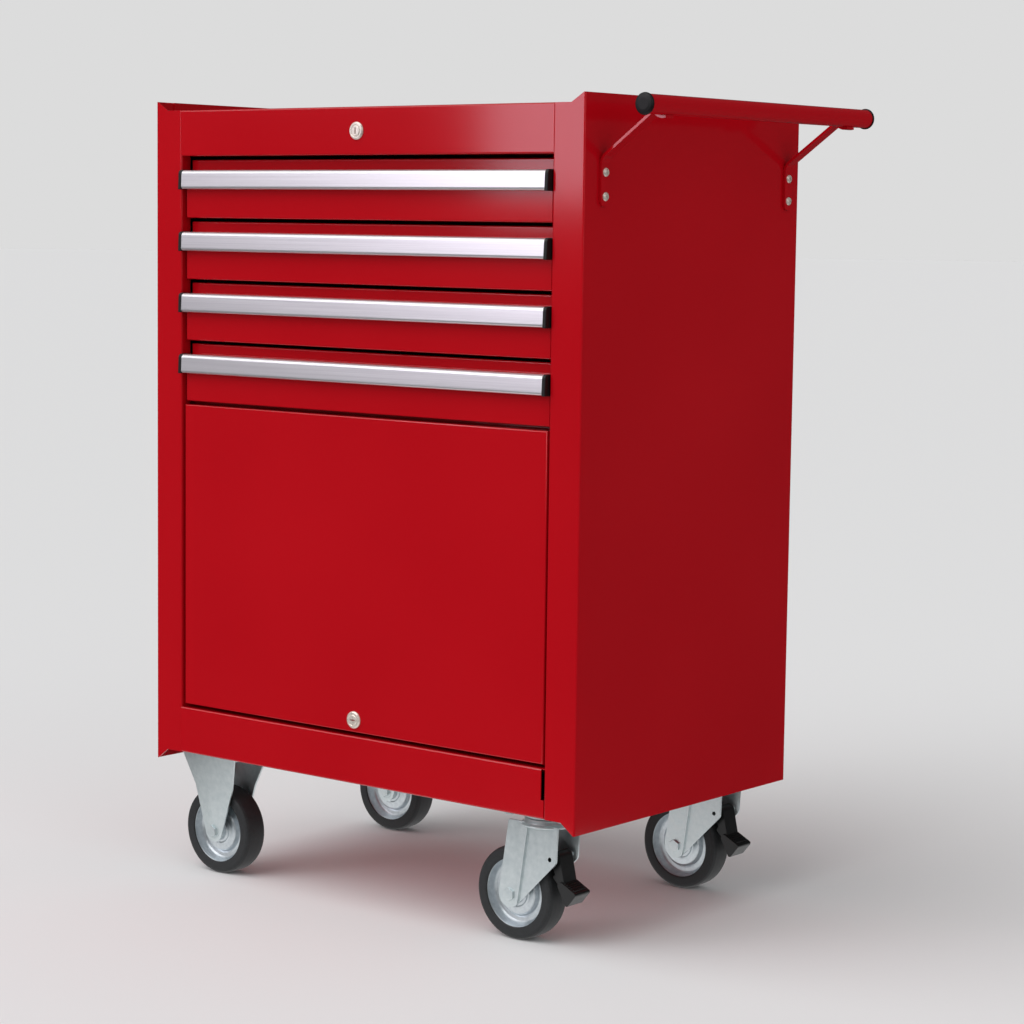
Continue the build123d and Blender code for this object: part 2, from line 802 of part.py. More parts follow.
# Bracket strip: a tab on the side panel, a slanted arm and a saddle under the tube
saddle_middle = saddle_radius + bracket_sheet / 2
saddle_join = math.radians(saddle_join_deg)
tab_x = half_width + bracket_sheet / 2
arm_start = Vector(tab_x, bracket_root - bracket_sheet / 2)
arm_end = Vector(
    handle_x - saddle_middle * math.cos(saddle_join),
    handle_z - saddle_middle * math.sin(saddle_join),
)
arm = arm_end - arm_start
arm_middle = (arm_start + arm_end) / 2
arm_tilt = math.degrees(math.atan2(arm.Y, arm.X))
with BuildPart() as handle_brackets:
    for place in bracket_places:
        with BuildSketch(across(place - bracket_width / 2)) as strip:
            with Locations((tab_x, bracket_root - bracket_tab / 2)):
                Rectangle(bracket_sheet, bracket_tab)
            with Locations(Location((arm_middle.X, arm_middle.Y), arm_tilt)):
                SlotCenterToCenter(arm.length, bracket_sheet)
            with Locations((handle_x, handle_z)):
                Circle(saddle_outer)
                Circle(saddle_radius, mode=Mode.SUBTRACT)
            with Locations((handle_x, handle_z + saddle_outer)):
                Rectangle(2 * saddle_outer, 2 * saddle_outer, mode=Mode.SUBTRACT)
        extrude(amount=-bracket_width)
    with BuildSketch(Plane.YZ.offset(half_width - overrun)) as tab_holes:
        with Locations(*screw_places):
            Circle(screw_radius + hole_clearance)
    extrude(amount=bracket_sheet + 2 * overrun, mode=Mode.SUBTRACT)
finish(handle_brackets, "handle_brackets")

with BuildPart() as handle_screws:
    head_x = half_width + bracket_sheet
    for place in screw_places:
        bar(Plane.YZ.offset(head_x), place, screw_head_radius, screw_head)
        bar(Plane.YZ.offset(head_x), place, screw_radius, -bracket_sheet - screw_tail)
    rims = handle_screws.edges().filter_by(GeomType.CIRCLE).group_by(Axis.X)[-1]
    fillet(rims, radius=screw_head / 2)
finish(handle_screws, "handle_screws")


# Casters
def wheel_plane(x, y):
    """Plane through a wheel's axle: across the tyre one way and outwards the other."""
    return Plane(origin=(x, y, wheel_radius), x_dir=(0, 1, 0), z_dir=(1, 0, 0))


def wheel_axis(x, y):
    return Axis((x, y, wheel_radius), (0, 1, 0))


hub_half = fork_inner - hole_clearance


def wheel_tyre(x, y):
    """Rubber ring with round shoulders."""
    bead = rim_radius + running_clearance
    with BuildPart() as tyre:
        with BuildSketch(wheel_plane(x, y)) as section:
            with Locations((0, (bead + wheel_radius) / 2)):
                Rectangle(tyre_width, wheel_radius - bead)
            fillet(section.vertices().group_by(Axis.Y)[-1], radius=tyre_shoulder)
        revolve(axis=wheel_axis(x, y))
    return tyre


def wheel_rim(x, y):
    """Pressed rim with a deep dish on both faces and a hub that runs on the axle."""
    bore = axle_radius + running_clearance
    dish_floor = rim_half - dish_depth
    with BuildPart() as rim:
        with BuildSketch(wheel_plane(x, y)):
            with BuildLine():
                Polyline(
                    (0, bore),
                    (hub_half, bore),
                    (hub_half, hub_radius),
                    (rim_half - rim_lip, hub_radius),
                    (hub_web, dish_radius - rim_lip),
                    (dish_floor, dish_radius),
                    (dish_floor, dish_radius + rim_lip),
                    (rim_half - rim_lip, rim_radius - rim_lip),
                    (rim_half, rim_radius - rim_lip),
                    (rim_half, rim_radius),
                    (0, rim_radius),
                    close=True,
                )
            make_face()
            mirror(about=Plane.YZ)
        revolve(axis=wheel_axis(x, y))
    return rim


def axle_bolt(x, y):
    """Add an axle bolt with its head in front and its nut behind to the part being built."""
    bar(across(y - fork_outer), (x, wheel_radius), axle_radius, -2 * fork_outer)
    for start, depth in ((y - fork_outer - axle_head, axle_head), (y + fork_outer, axle_head)):
        with BuildSketch(across(start)) as hexagon:
            with Locations((x, wheel_radius)):
                RegularPolygon(axle_head_radius, 6)
        extrude(hexagon.sketch, amount=-depth)


def caster_plate_blank(x, y):
    """Add a mounting plate with its four bolt holes to the part being built."""
    with BuildSketch(Plane.XY.offset(plate_bottom)) as plate:
        with Locations((x, y)):
            RectangleRounded(caster_plate_x, caster_plate_y, bolt_head_radius)
            with GridLocations(bolt_spacing_x, bolt_spacing_y, 2, 2):
                Circle(bolt_radius + hole_clearance, mode=Mode.SUBTRACT)
    extrude(plate.sketch, amount=caster_plate)


def top_corners(x, half, top, radius):
    """Round corners at both ends of a leg's top edge."""
    return [((x + side * (half - radius), top - radius), radius) for side in (-1, 1)]


def fork_legs(outlines, y, holes):
    """Add two legs stretched round the given circles, with their pin holes."""
    for leg in (y - fork_outer, y + fork_inner):
        with BuildSketch(across(leg)) as face:
            with BuildLine():
                for center, radius in outlines:
                    CenterArc(center, radius, 0, 360)
            make_hull()
            for center, radius in holes:
                with Locations(center):
                    Circle(radius, mode=Mode.SUBTRACT)
        extrude(face.sketch, amount=-fork_sheet)


axle_room = axle_radius + running_clearance
with BuildPart() as rigid_caster_forks:
    for y in caster_places:
        caster_plate_blank(-caster_x, y)
        corners = top_corners(-caster_x, fork_top_half, caster_height, fork_boss_radius / 2)
        axle_place = (-caster_x, wheel_radius)
        fork_legs([*corners, (axle_place, fork_boss_radius)], y, [(axle_place, axle_room)])
finish(rigid_caster_forks, "rigid_caster_forks")

with BuildPart() as swivel_caster_plates:
    for y in caster_places:
        caster_plate_blank(caster_x, y)
        bar(Plane.XY.offset(plate_bottom), (caster_x, y), race_radius, -race_height)
        crown_bottom = plate_bottom - race_height - race_gap - crown_ring - crown
        head_top = crown_bottom - race_gap
        bar(Plane.XY.offset(plate_bottom), (caster_x, y), kingpin_radius, head_top - plate_bottom)
        bar(Plane.XY.offset(head_top), (caster_x, y), kingpin_head_radius, -kingpin_head)
finish(swivel_caster_plates, "swivel_caster_plates")

crown_top = crown_bottom + crown
swivel_axle_place = (swivel_axle_x, wheel_radius)


def from_axle(shares):
    """Place seen from the front, measured in wheel radii from a swivel caster's axle."""
    return (swivel_axle_x + shares[0] * wheel_radius, wheel_radius + shares[1] * wheel_radius)


pivot_place = from_axle(pedal_pivot_shares)
knee_place = from_axle(pedal_knee_shares)
tip_place = from_axle(pedal_tip_shares)
heel_place = from_axle(pedal_heel_shares)
shoe_reach = wheel_radius + shoe_gap + shoe_radius
shoe_angle = math.radians(shoe_angle_deg)
shoe_place = (
    swivel_axle_x + shoe_reach * math.cos(shoe_angle),
    wheel_radius + shoe_reach * math.sin(shoe_angle),
)


def swivel_fork(y):
    """Crown with a race ring and two trailing legs with a lug for the pedal pin."""
    with BuildPart() as fork:
        bar(Plane.XY.offset(crown_bottom), (caster_x, y), crown_radius, crown)
        bar(Plane.XY.offset(crown_top), (caster_x, y), race_radius, crown_ring)
        corners = top_corners(caster_x, crown_radius - crown, crown_top, crown)
        outlines = [*corners, (swivel_axle_place, fork_boss_radius), (pivot_place, pedal_lug_radius)]
        pin_room = pedal_pin_radius + running_clearance
        fork_legs(outlines, y, [(swivel_axle_place, axle_room), (pivot_place, pin_room)])
        bar(
            Plane.XY.offset(crown_bottom - overrun),
            (caster_x, y),
            kingpin_radius + running_clearance,
            crown + crown_ring + 2 * overrun,
            mode=Mode.SUBTRACT,
        )
    return fork


def swivel_pins(y):
    """Axle bolt and pedal pin of a swivel caster."""
    with BuildPart() as pins:
        axle_bolt(swivel_axle_x, y)
        bar(across(y - fork_outer), pivot_place, pedal_pin_radius, -2 * fork_outer)
    return pins


def brake_pedal(y):
    """Foot lever: an arm from its pin, a wedge to step on and a shoe just clear of the tyre."""
    knee = (knee_place, pedal_knee_radius)
    arm = (pedal_width, ((pivot_place, pedal_boss_radius), knee))
    shoe = (pedal_width, ((shoe_place, shoe_radius), knee))
    tread = (pedal_tread, (knee, (tip_place, pedal_tip_radius), (heel_place, pedal_tip_radius)))
    with BuildPart() as pedal:
        for width, outlines in (arm, shoe, tread):
            with BuildSketch(across(y - width / 2)) as side_view:
                with BuildLine():
                    for center, radius in outlines:
                        CenterArc(center, radius, 0, 360)
                make_hull()
            extrude(amount=-width)
        bar(
            across(y - pedal_width),
            pivot_place,
            pedal_pin_radius + running_clearance,
            -2 * pedal_width,
            mode=Mode.SUBTRACT,
        )
    return pedal


for name, y in zip(caster_names, caster_places):
    finish(swivel_fork(y), f"{name}_swivel_fork")
    finish(swivel_pins(y), f"{name}_swivel_pins")
    finish(brake_pedal(y), f"{name}_brake_pedal")
    for side, wheel_x in (("left", -caster_x), ("right", swivel_axle_x)):
        finish(wheel_tyre(wheel_x, y), f"{name}_{side}_tyre")
        finish(wheel_rim(wheel_x, y), f"{name}_{side}_rim")

# Caster bolts: sixteen through the plates, and the axle bolts of the rigid casters
with BuildPart() as caster_bolts:
    for place in bolt_places:
        bar(Plane.XY.offset(plate_bottom), place, bolt_radius, caster_plate + pan_sheet + weld_nut)
    with BuildSketch(Plane.XY.offset(plate_bottom)) as bolt_heads:
        with Locations(*bolt_places):
            RegularPolygon(bolt_head_radius, 6)
    extrude(amount=-bolt_head)
    for y in caster_places:
        axle_bolt(-caster_x, y)
finish(caster_bolts, "caster_bolts")
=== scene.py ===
# %% [markdown]
# # A red roller tool cabinet
# The real cabinet is folded sheet steel under a glossy red powder coat: four drawers over a
# flip-up door, a push handle on the right and four casters. Its solids arrive with every size
# and joint settled, so this lesson dresses them. Each piece that shows is modelled again with
# the bends, seams and softened edges that catch the light, and takes its solid's place.

# %% Load the solids
import bmesh
import bpy
import json
import math
from mathutils import Euler, Matrix, Vector


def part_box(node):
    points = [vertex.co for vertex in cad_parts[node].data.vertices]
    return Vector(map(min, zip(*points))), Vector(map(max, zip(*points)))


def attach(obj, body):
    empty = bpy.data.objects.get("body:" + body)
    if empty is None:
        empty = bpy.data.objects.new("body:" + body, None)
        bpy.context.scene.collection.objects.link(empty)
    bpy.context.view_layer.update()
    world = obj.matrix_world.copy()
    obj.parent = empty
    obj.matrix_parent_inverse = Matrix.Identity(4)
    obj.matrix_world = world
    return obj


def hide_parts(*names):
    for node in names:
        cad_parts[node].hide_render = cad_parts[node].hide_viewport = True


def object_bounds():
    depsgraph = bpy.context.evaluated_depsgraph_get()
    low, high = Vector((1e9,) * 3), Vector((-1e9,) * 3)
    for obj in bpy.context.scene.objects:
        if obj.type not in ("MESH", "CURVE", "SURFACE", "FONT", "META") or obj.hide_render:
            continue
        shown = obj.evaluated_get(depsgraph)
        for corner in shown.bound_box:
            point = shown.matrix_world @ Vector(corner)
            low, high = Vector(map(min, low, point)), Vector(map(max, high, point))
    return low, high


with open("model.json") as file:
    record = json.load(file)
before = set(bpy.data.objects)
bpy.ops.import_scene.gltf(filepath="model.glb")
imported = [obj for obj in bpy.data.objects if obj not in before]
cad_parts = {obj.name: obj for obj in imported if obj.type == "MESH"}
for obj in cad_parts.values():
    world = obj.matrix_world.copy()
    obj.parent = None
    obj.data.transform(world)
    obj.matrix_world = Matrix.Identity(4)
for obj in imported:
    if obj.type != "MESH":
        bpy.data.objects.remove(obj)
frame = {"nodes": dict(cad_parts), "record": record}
cad_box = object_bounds()
MM = 0.001

# %% [markdown]
# ## The camera
# The photographer stood to the right of the front, at about drawer height, with a long lens, so
# upright edges stay almost parallel. A camera can be placed by eye or solved from the corners of
# the cabinet. This one was solved, so its place and turn are plain numbers.

# %% Place the camera
lens_mm = 95.27
sensor_mm = 36.0
camera_place = Vector((1.92675, -2.37335, 0.7613))
camera_turn_deg = 38.8601
camera_tilt_deg = 6.1186
camera_roll_deg = 0.7502

camera_data = bpy.data.cameras.new("photo_camera")
camera_data.lens = lens_mm
camera_data.sensor_width = sensor_mm
camera = bpy.data.objects.new("photo_camera", camera_data)
bpy.context.collection.objects.link(camera)
aim = Euler((math.radians(90 - camera_tilt_deg), 0, math.radians(camera_turn_deg))).to_matrix()
camera.location = camera_place
camera.rotation_euler = (aim @ Matrix.Rotation(math.radians(camera_roll_deg), 3, "Z")).to_euler()
bpy.context.scene.camera = camera
middle = (cad_box[0] + cad_box[1]) / 2
print("camera stands", round((camera_place - middle).length, 2), "m away")

# %% [markdown]
# ## Colours and nodes
# Colours are picked as sRGB hex codes, but shaders count light linearly, so one function turns
# the first into the second. A second small function adds a shader node with its settings, its
# socket values and its links, and a third starts a material.


# %% Colour and node helpers
def linear(code):
    """Turn an sRGB hex code into the linear colour that a shader reads."""
    levels = [int(code[start:start + 2], 16) / 255 for start in (1, 3, 5)]
    return [v / 12.92 if v <= 0.04045 else ((v + 0.055) / 1.055) ** 2.4 for v in levels] + [1.0]


def add_node(tree, kind, values=None, links=None, **settings):
    """Add one node with its settings, socket values and links."""
    made = tree.nodes.new(kind)
    for name, value in settings.items():
        setattr(made, name, value)
    for socket, value in (values or {}).items():
        made.inputs[socket].default_value = value
    for socket, source in (links or {}).items():
        tree.links.new(source, made.inputs[socket])
    return made


def new_finish(name, sockets):
    """Start a material with values that are the same all over its surface."""
    material = bpy.data.materials.new(name)
    material.use_nodes = True
    tree = material.node_tree
    shader = tree.nodes["Principled BSDF"]
    for socket, value in sockets.items():
        shader.inputs[socket].default_value = value
    return material, tree, shader


print("pale grey in linear light:", [round(v, 3) for v in linear("#DCDCDC")])

# %% [markdown]
# ## Studio, floor and lights
# The photograph was cut out on an even pale grey. A wide soft sun lights the whole floor alike,
# so the floor melts into the backdrop and only a faint contact shadow is left. The sun stands to
# the front left, which makes the front bright and the right side darker, as in the photograph.
# Glossy paint shows what stands around it. The room is dark in reflections, and two softboxes
# high on the left put the pale sheen on the top rail, the right post and the drawer pulls. A
# glowing card round the feet is seen only in reflections, by the casters, which mirror the floor
# beside them: its glow is a painted reflection of an evenly lit floor, with no shadow in it.

# %% Set up the studio
sun_strength = 1.90
sun_spread = math.radians(70)
sun_from = Vector((-0.30, -0.60, 0.75))
fill_strength = 0.42
fill_spread = math.radians(50)
fill_from = Vector((0.85, -0.35, 0.40))
softbox_tint = linear("#FBF0FF")[:3]
near_box = (Vector((-1.315, -2.38, 1.24)), (0.58, 0.90), 5.8)
far_box = (Vector((-2.00, -2.38, 1.30)), (0.80, 0.40), 1.5)
card_glow = 0.80
floor_radius = 60
card_radius = 0.66
card_rise = 0.2 * MM
disc_sides = 96

bpy.context.scene.view_settings.view_transform = "Standard"
studio = bpy.data.worlds.new("studio")
bpy.context.scene.world = studio
studio.use_nodes = True
sky = studio.node_tree
sky.nodes.clear()
backdrop, room, dark_room = [
    add_node(sky, "ShaderNodeBackground", {"Color": linear(code)}).outputs[0]
    for code in ("#DCDCDC", "#B3B3B4", "#3C3C3E")
]
sight = add_node(sky, "ShaderNodeLightPath").outputs
around = add_node(sky, "ShaderNodeMixShader", links={0: sight["Is Glossy Ray"], 1: room, 2: dark_room})
seen = {0: sight["Is Camera Ray"], 1: around.outputs[0], 2: backdrop}
either = add_node(sky, "ShaderNodeMixShader", links=seen)
add_node(sky, "ShaderNodeOutputWorld", links={"Surface": either.outputs[0]})

matt = {"Base Color": linear("#E1E1E1"), "Roughness": 1.0, "Specular IOR Level": 0.0}
matt_floor = new_finish("matt_studio_floor", matt)[0]
# The card glows instead of being lit: a painted reflection of an evenly lit floor, seen only in glossy
# rays.
glow = {"Emission Color": linear("#FFFFFF"), "Emission Strength": card_glow}
pale_card = new_finish("pale_card", {"Base Color": linear("#000000"), **glow})[0]


def lay_disc(name, radius, rise, material, unseen_by):
    """Lay a round sheet on the ground, hidden from the kinds of light ray that are named."""
    bpy.ops.object.select_all(action="DESELECT")
    bpy.ops.mesh.primitive_circle_add(
        vertices=disc_sides, radius=radius, fill_type="NGON", location=(0, 0, rise)
    )
    disc = bpy.context.object
    disc.name = name
    disc.data.materials.append(material)
    for ray in unseen_by:
        setattr(disc, f"visible_{ray}", False)


lay_disc("studio_floor", floor_radius, 0, matt_floor, ("glossy",))
# This disc is the glowing card: hidden from camera, diffuse and shadow rays, it only paints an even
# reflection of the floor.
lay_disc("caster_card", card_radius, card_rise, pale_card, ("camera", "diffuse", "shadow"))


def add_light(name, kind, energy, place, **settings):
    """Add a light that shines from a place towards the middle of the cabinet."""
    data = bpy.data.lights.new(name, kind)
    data.energy = energy
    for key, value in settings.items():
        setattr(data, key, value)
    light = bpy.data.objects.new(name, data)
    bpy.context.collection.objects.link(light)
    light.location = place
    light.rotation_euler = (place - middle).to_track_quat("Z", "Y").to_euler()
    light.visible_camera = False


add_light("soft_sun", "SUN", sun_strength, middle + sun_from, angle=sun_spread)
add_light("right_fill", "SUN", fill_strength, middle + fill_from, angle=fill_spread)
for name, (spot, (across, up), watts) in (("near_softbox", near_box), ("far_softbox", far_box)):
    panel = {"shape": "RECTANGLE", "size": across, "size_y": up, "color": softbox_tint}
    add_light(name, "AREA", watts, spot, **panel)

# %% [markdown]
# ## Finishes
# Every finish starts from what the real surface is and how it was made. Most are one shader
# with a grain: a noise whose size is given in real millimetres, which shifts the colour a
# little, changes the gloss from place to place and raises a shallow relief. A relief is given
# as its real height and how strongly it shows. The cabinet's record names a slot for every
# solid, such as red paint or black plastic, so the finishes are kept by slot.

# %% Finish helpers
finishes = {}
grain_span = (0.2, 0.8)
plain_detail = 1.0


def grain(tree, size, stretch=(1, 1, 1), detail=3.0):
    """Noise whose blots are about one size across, drawn out along the axes by the stretch."""
    space = add_node(tree, "ShaderNodeTexCoord").outputs["Object"]
    scale = [1 / (size * factor) for factor in stretch]
    fitted = add_node(tree, "ShaderNodeMapping", {"Scale": scale}, {"Vector": space}).outputs["Vector"]
    noise = add_node(tree, "ShaderNodeTexNoise", {"Scale": 1.0, "Detail": detail}, {"Vector": fitted})
    return noise.outputs["Fac"]


def wear(tree, shader, pattern, colours, gloss):
    """Let a pattern shift the colour between two hex codes and the roughness between two values."""
    ramp = add_node(tree, "ShaderNodeValToRGB", links={"Fac": pattern})
    for element, place, code in zip(ramp.color_ramp.elements, grain_span, colours):
        element.position = place
        element.color = linear(code)
    tree.links.new(ramp.outputs["Color"], shader.inputs["Base Color"])
    ends = dict(zip(("From Min", "From Max", "To Min", "To Max"), (*grain_span, *gloss)))
    rough = add_node(tree, "ShaderNodeMapRange", ends, {"Value": pattern})
    tree.links.new(rough.outputs["Result"], shader.inputs["Roughness"])


def relief(tree, shader, pattern, height, strength):
    """Let a pattern raise the surface by a real height."""
    raised = {"Strength": strength, "Distance": height}
    bump = add_node(tree, "ShaderNodeBump", raised, {"Height": pattern})
    tree.links.new(bump.outputs["Normal"], shader.inputs["Normal"])


def grained(slot, name, sockets, size, colours, gloss, raised=None, stretch=(1, 1, 1)):
    """Make the finish of a slot, whose colour, gloss and relief all follow one grain."""
    finishes[slot], tree, shader = new_finish(name, sockets)
    pattern = grain(tree, size, stretch)
    wear(tree, shader, pattern, colours, gloss)
    if raised:
        relief(tree, shader, pattern, *raised)
    print("made", name)


print("finish helpers ready")

# %% [markdown]
# ### Red powder coat
# Powder paint is sprayed on dry and melted in an oven. It comes out thick, even and glossy, with
# the faint waviness called orange peel. Real peel is about 1.5 mm across, too fine to show at
# this distance, so it is drawn at 4 mm.

# %% Red powder coat
cloud_size = 220 * MM
peel_size = 4 * MM
peel_height = 0.03 * MM
powder_peel = (peel_height, 0.2)
finishes["red_paint"], tree, shader = new_finish("red_powder_coat", {"Specular IOR Level": 0.5})
wear(tree, shader, grain(tree, cloud_size, detail=plain_detail), ("#A90512", "#B00714"), (0.09, 0.12))
relief(tree, shader, grain(tree, peel_size, detail=plain_detail), *powder_peel)
print("made", finishes["red_paint"].name)

# %% [markdown]
# ### Satin anodised aluminium
# The drawer pulls are extruded, brushed lengthways and anodised. The brush leaves fine streaks
# along the pull, so the grain is drawn out along X: each streak is long and about 1 mm wide. The
# clear oxide scatters some light, so the shader is three quarters metal.

# %% Satin anodised aluminium
streak_width = 1.0 * MM
streak_stretch = (220, 1, 1)
streak_relief = (0.01 * MM, 0.4)
grained(
    "anodised_trim", "satin_anodised_aluminium", {"Metallic": 0.75}, streak_width,
    ("#E0DFE3", "#F2F1F4"), (0.28, 0.36), streak_relief, streak_stretch,
)

# %% [markdown]
# ### Clear zinc plate, galvanised sheet and nickel
# The caster forks are electroplated with zinc: a cool, slightly cloudy silver. The drawer slides
# are galvanised sheet, whose zinc froze into flat crystals, the spangle, some 9 mm across. The
# locks and screws are plated with satin nickel, which is paler and warmer than both.

# %% Zinc, galvanised steel and nickel
zinc_cloud = 7 * MM
zinc_relief = (0.02 * MM, 0.3)
spangle_size = 9 * MM
rub_size = 2 * MM
grained(
    "zinc_plated_steel", "clear_zinc_plate", {"Metallic": 1.0}, zinc_cloud,
    ("#C3CDCF", "#DCE3E4"), (0.36, 0.50), zinc_relief,
)

finishes["galvanised_steel"], tree, shader = new_finish("galvanised_steel", {"Metallic": 1.0})
space = add_node(tree, "ShaderNodeTexCoord").outputs["Object"]
spangle = add_node(tree, "ShaderNodeTexVoronoi", {"Scale": 1 / spangle_size}, {"Vector": space})
level = add_node(tree, "ShaderNodeSeparateColor", links={"Color": spangle.outputs["Color"]})
wear(tree, shader, level.outputs[0], ("#A9B1B5", "#C6CCCF"), (0.30, 0.46))
print("made", finishes["galvanised_steel"].name)

grained(
    "bright_chrome", "satin_nickel_plate", {"Metallic": 0.55}, rub_size,
    ("#E9DDD0", "#F7EEE4"), (0.24, 0.36),
)

# %% [markdown]
# ### Black plastic, black paint, rubber and cast rims
# The caps are moulded plastic with a fine eroded texture from the mould. The brake pedals are
# pressed steel under satin black paint. The tyres are moulded rubber: the mattest surface here,
# a very dark grey that is never quite black. The rims are cast and then turned.

# %% Plastic, paint, rubber and cast rims
mould_grain = 1.2 * MM
mould_relief = (0.03 * MM, 0.4)
paint_peel = (peel_height, 0.5)
rubber_grain = 3 * MM
rubber_relief = (0.05 * MM, 0.4)
cast_grain = 5 * MM
cast_relief = (0.03 * MM, 0.3)
grained(
    "black_plastic", "moulded_black_plastic", {"Specular IOR Level": 0.4}, mould_grain,
    ("#0D0D0E", "#161617"), (0.42, 0.56), mould_relief,
)

finishes["black_pedal"], tree, shader = new_finish("satin_black_paint", {"Specular IOR Level": 0.45})
wear(tree, shader, grain(tree, peel_size), ("#0B0C0C", "#151616"), (0.32, 0.44))
relief(tree, shader, grain(tree, peel_size, detail=plain_detail), *paint_peel)
print("made", finishes["black_pedal"].name)

grained(
    "tyre_rubber", "moulded_tyre_rubber", {"Specular IOR Level": 0.35}, rubber_grain,
    ("#1B1C1D", "#2B2D2F"), (0.50, 0.66), rubber_relief,
)
grained(
    "cast_rim", "turned_cast_rim", {"Metallic": 1.0}, cast_grain,
    ("#BAC1C6", "#D9DFE2"), (0.30, 0.44), cast_relief,
)
print("finishes:", len(finishes))

# %% [markdown]
# ## Shaping by hand, in code
# Each step below is what a hand would do in edit mode: add a primitive, select a few corners,
# edges or faces, then extrude, bevel, cut or move them. Selection is by place, so a helper takes
# a test and selects what passes it. Everything else is deselected first, because an operator
# acts on all that is selected.

# %% Helpers for edit mode
same_place = 0.01 * MM
weld_reach = 0.001 * MM
facing = 0.5
bend_steps = 4
fold_steps = 5
round_steps = 6


def deselect():
    bpy.ops.object.select_all(action="DESELECT")


def select_all():
    bpy.ops.mesh.select_all(action="SELECT")


def close():
    """Leave edit mode."""
    if bpy.context.mode != "OBJECT":
        bpy.ops.object.mode_set(mode="OBJECT")


def begin(name, primitive, **placing):
    """Add a primitive by itself, name it and open it in edit mode with everything selected."""
    deselect()
    primitive(**placing)
    piece = bpy.context.object
    piece.name = piece.data.name = name
    bpy.ops.object.transform_apply(location=True, rotation=True, scale=True)
    bpy.ops.object.mode_set(mode="EDIT")
    bpy.ops.mesh.select_mode(type="VERT")
    select_all()
    return piece


def block(name, low, high):
    """Open a box between two corners."""
    low, high = Vector(low), Vector(high)
    size = high - low
    return begin(name, bpy.ops.mesh.primitive_cube_add, size=1, location=(low + high) / 2, scale=size)


def near(value, place):
    return abs(value - place) < same_place


def pick(kind, test):
    """Select the corners, edges or faces of the open mesh whose middle and direction pass a test."""
    bpy.ops.mesh.select_mode(type=kind)
    bpy.ops.mesh.select_all(action="DESELECT")
    mesh = bmesh.from_edit_mesh(bpy.context.object.data)
    if kind == "VERT":
        found = [corner for corner in mesh.verts if test(corner.co, corner.normal)]
    elif kind == "EDGE":
        ends = [(edge, edge.verts[0].co, edge.verts[1].co) for edge in mesh.edges]
        found = [edge for edge, start, end in ends if test((start + end) / 2, (end - start).normalized())]
    else:
        found = [face for face in mesh.faces if test(face.calc_center_median(), face.normal)]
    for part in found:
        part.select_set(True)
    mesh.select_flush_mode()
    bmesh.update_edit_mesh(bpy.context.object.data)


def move(x=0, y=0, z=0):
    bpy.ops.transform.translate(value=(x, y, z))


def pull(x=0, y=0, z=0):
    """Extrude what is selected by a distance."""
    bpy.ops.mesh.extrude_region_move(TRANSFORM_OT_translate={"value": (x, y, z)})


def sweep(x=0, y=0, z=0):
    """Extrude the whole open mesh, such as a drawn line into a sheet."""
    select_all()
    pull(x, y, z)


def round_corners(test, radius, segments=bend_steps):
    """Round the corners of a drawn line or face."""
    pick("VERT", test)
    bpy.ops.mesh.bevel(offset=radius, segments=segments, affect="VERTICES")


def round_edges(test, radius, segments):
    """Round the edges that pass a test."""
    pick("EDGE", test)
    bpy.ops.mesh.bevel(offset=radius, segments=segments, affect="EDGES")


def remove_faces(test):
    pick("FACE", test)
    bpy.ops.mesh.delete(type="FACE")


def trace(name, points):
    """Draw a line from point to point, as a chain of extruded corners."""
    points = [Vector(point) for point in points]
    piece = begin(name, bpy.ops.mesh.primitive_plane_add, size=MM, location=points[0])
    bpy.ops.mesh.merge(type="CENTER")
    for here, there in zip(points, points[1:]):
        bpy.ops.mesh.extrude_vertices_move(TRANSFORM_OT_translate={"value": there - here})
    return piece


def weld():
    """Merge the corners that coincide and leave everything selected."""
    select_all()
    bpy.ops.mesh.remove_doubles(threshold=weld_reach)


def fill():
    """Close the drawn line and make it a face."""
    bpy.ops.mesh.select_mode(type="VERT")
    weld()
    bpy.ops.mesh.edge_face_add()


def face_out():
    """Turn all faces of the open mesh outwards."""
    select_all()
    bpy.ops.mesh.normals_make_consistent(inside=False)


def cut(place, normal):
    """Cut the open mesh along a plane and keep both sides."""
    select_all()
    bpy.ops.mesh.bisect(plane_co=place, plane_no=normal)


print("edit mode helpers ready")

# %% [markdown]
# Sheet metal is drawn as the middle surface of the sheet, and a Solidify modifier gives it half
# its thickness to each side. That keeps bends true. A narrow bevel then softens each cut edge,
# and weighted normals keep the large faces flat in the light.


# %% Helpers for whole pieces
def only(piece):
    """Make one piece the selected and the active one, out of edit mode."""
    close()
    deselect()
    piece.select_set(True)
    bpy.context.view_layer.objects.active = piece


def modify(piece, kind, **settings):
    """Add a modifier, set it up and apply it."""
    only(piece)
    modifier = piece.modifiers.new(kind.lower(), kind)
    for key, value in settings.items():
        setattr(modifier, key, value)
    bpy.ops.object.modifier_apply(modifier=modifier.name)


def thicken(piece, thickness):
    """Turn all faces of a sheet the same way and give it thickness to both sides."""
    only(piece)
    bpy.ops.object.mode_set(mode="EDIT")
    weld()
    face_out()
    way = {"solidify_mode": "NON_MANIFOLD", "nonmanifold_thickness_mode": "CONSTRAINTS"}
    modify(piece, "SOLIDIFY", thickness=thickness, offset=0, **way)


def carve(piece, middle, size):
    """Cut a block out of a piece."""
    cutter = block("cutter", middle - size / 2, middle + size / 2)
    modify(piece, "BOOLEAN", object=cutter, operation="DIFFERENCE", solver="EXACT")
    bpy.data.objects.remove(cutter)


def polish(piece, smooth_deg=40):
    """Shade a piece smoothly between its sharp steps."""
    only(piece)
    bpy.ops.object.shade_smooth_by_angle(angle=math.radians(smooth_deg))
    modify(piece, "WEIGHTED_NORMAL", keep_sharp=True)


def soften(piece, width, segments=2, smooth_deg=40):
    """Bevel the sharp edges and shade the bends smoothly."""
    sharp = {"limit_method": "ANGLE", "angle_limit": math.radians(smooth_deg)}
    modify(piece, "BEVEL", width=width, segments=segments, **sharp)
    polish(piece, smooth_deg)


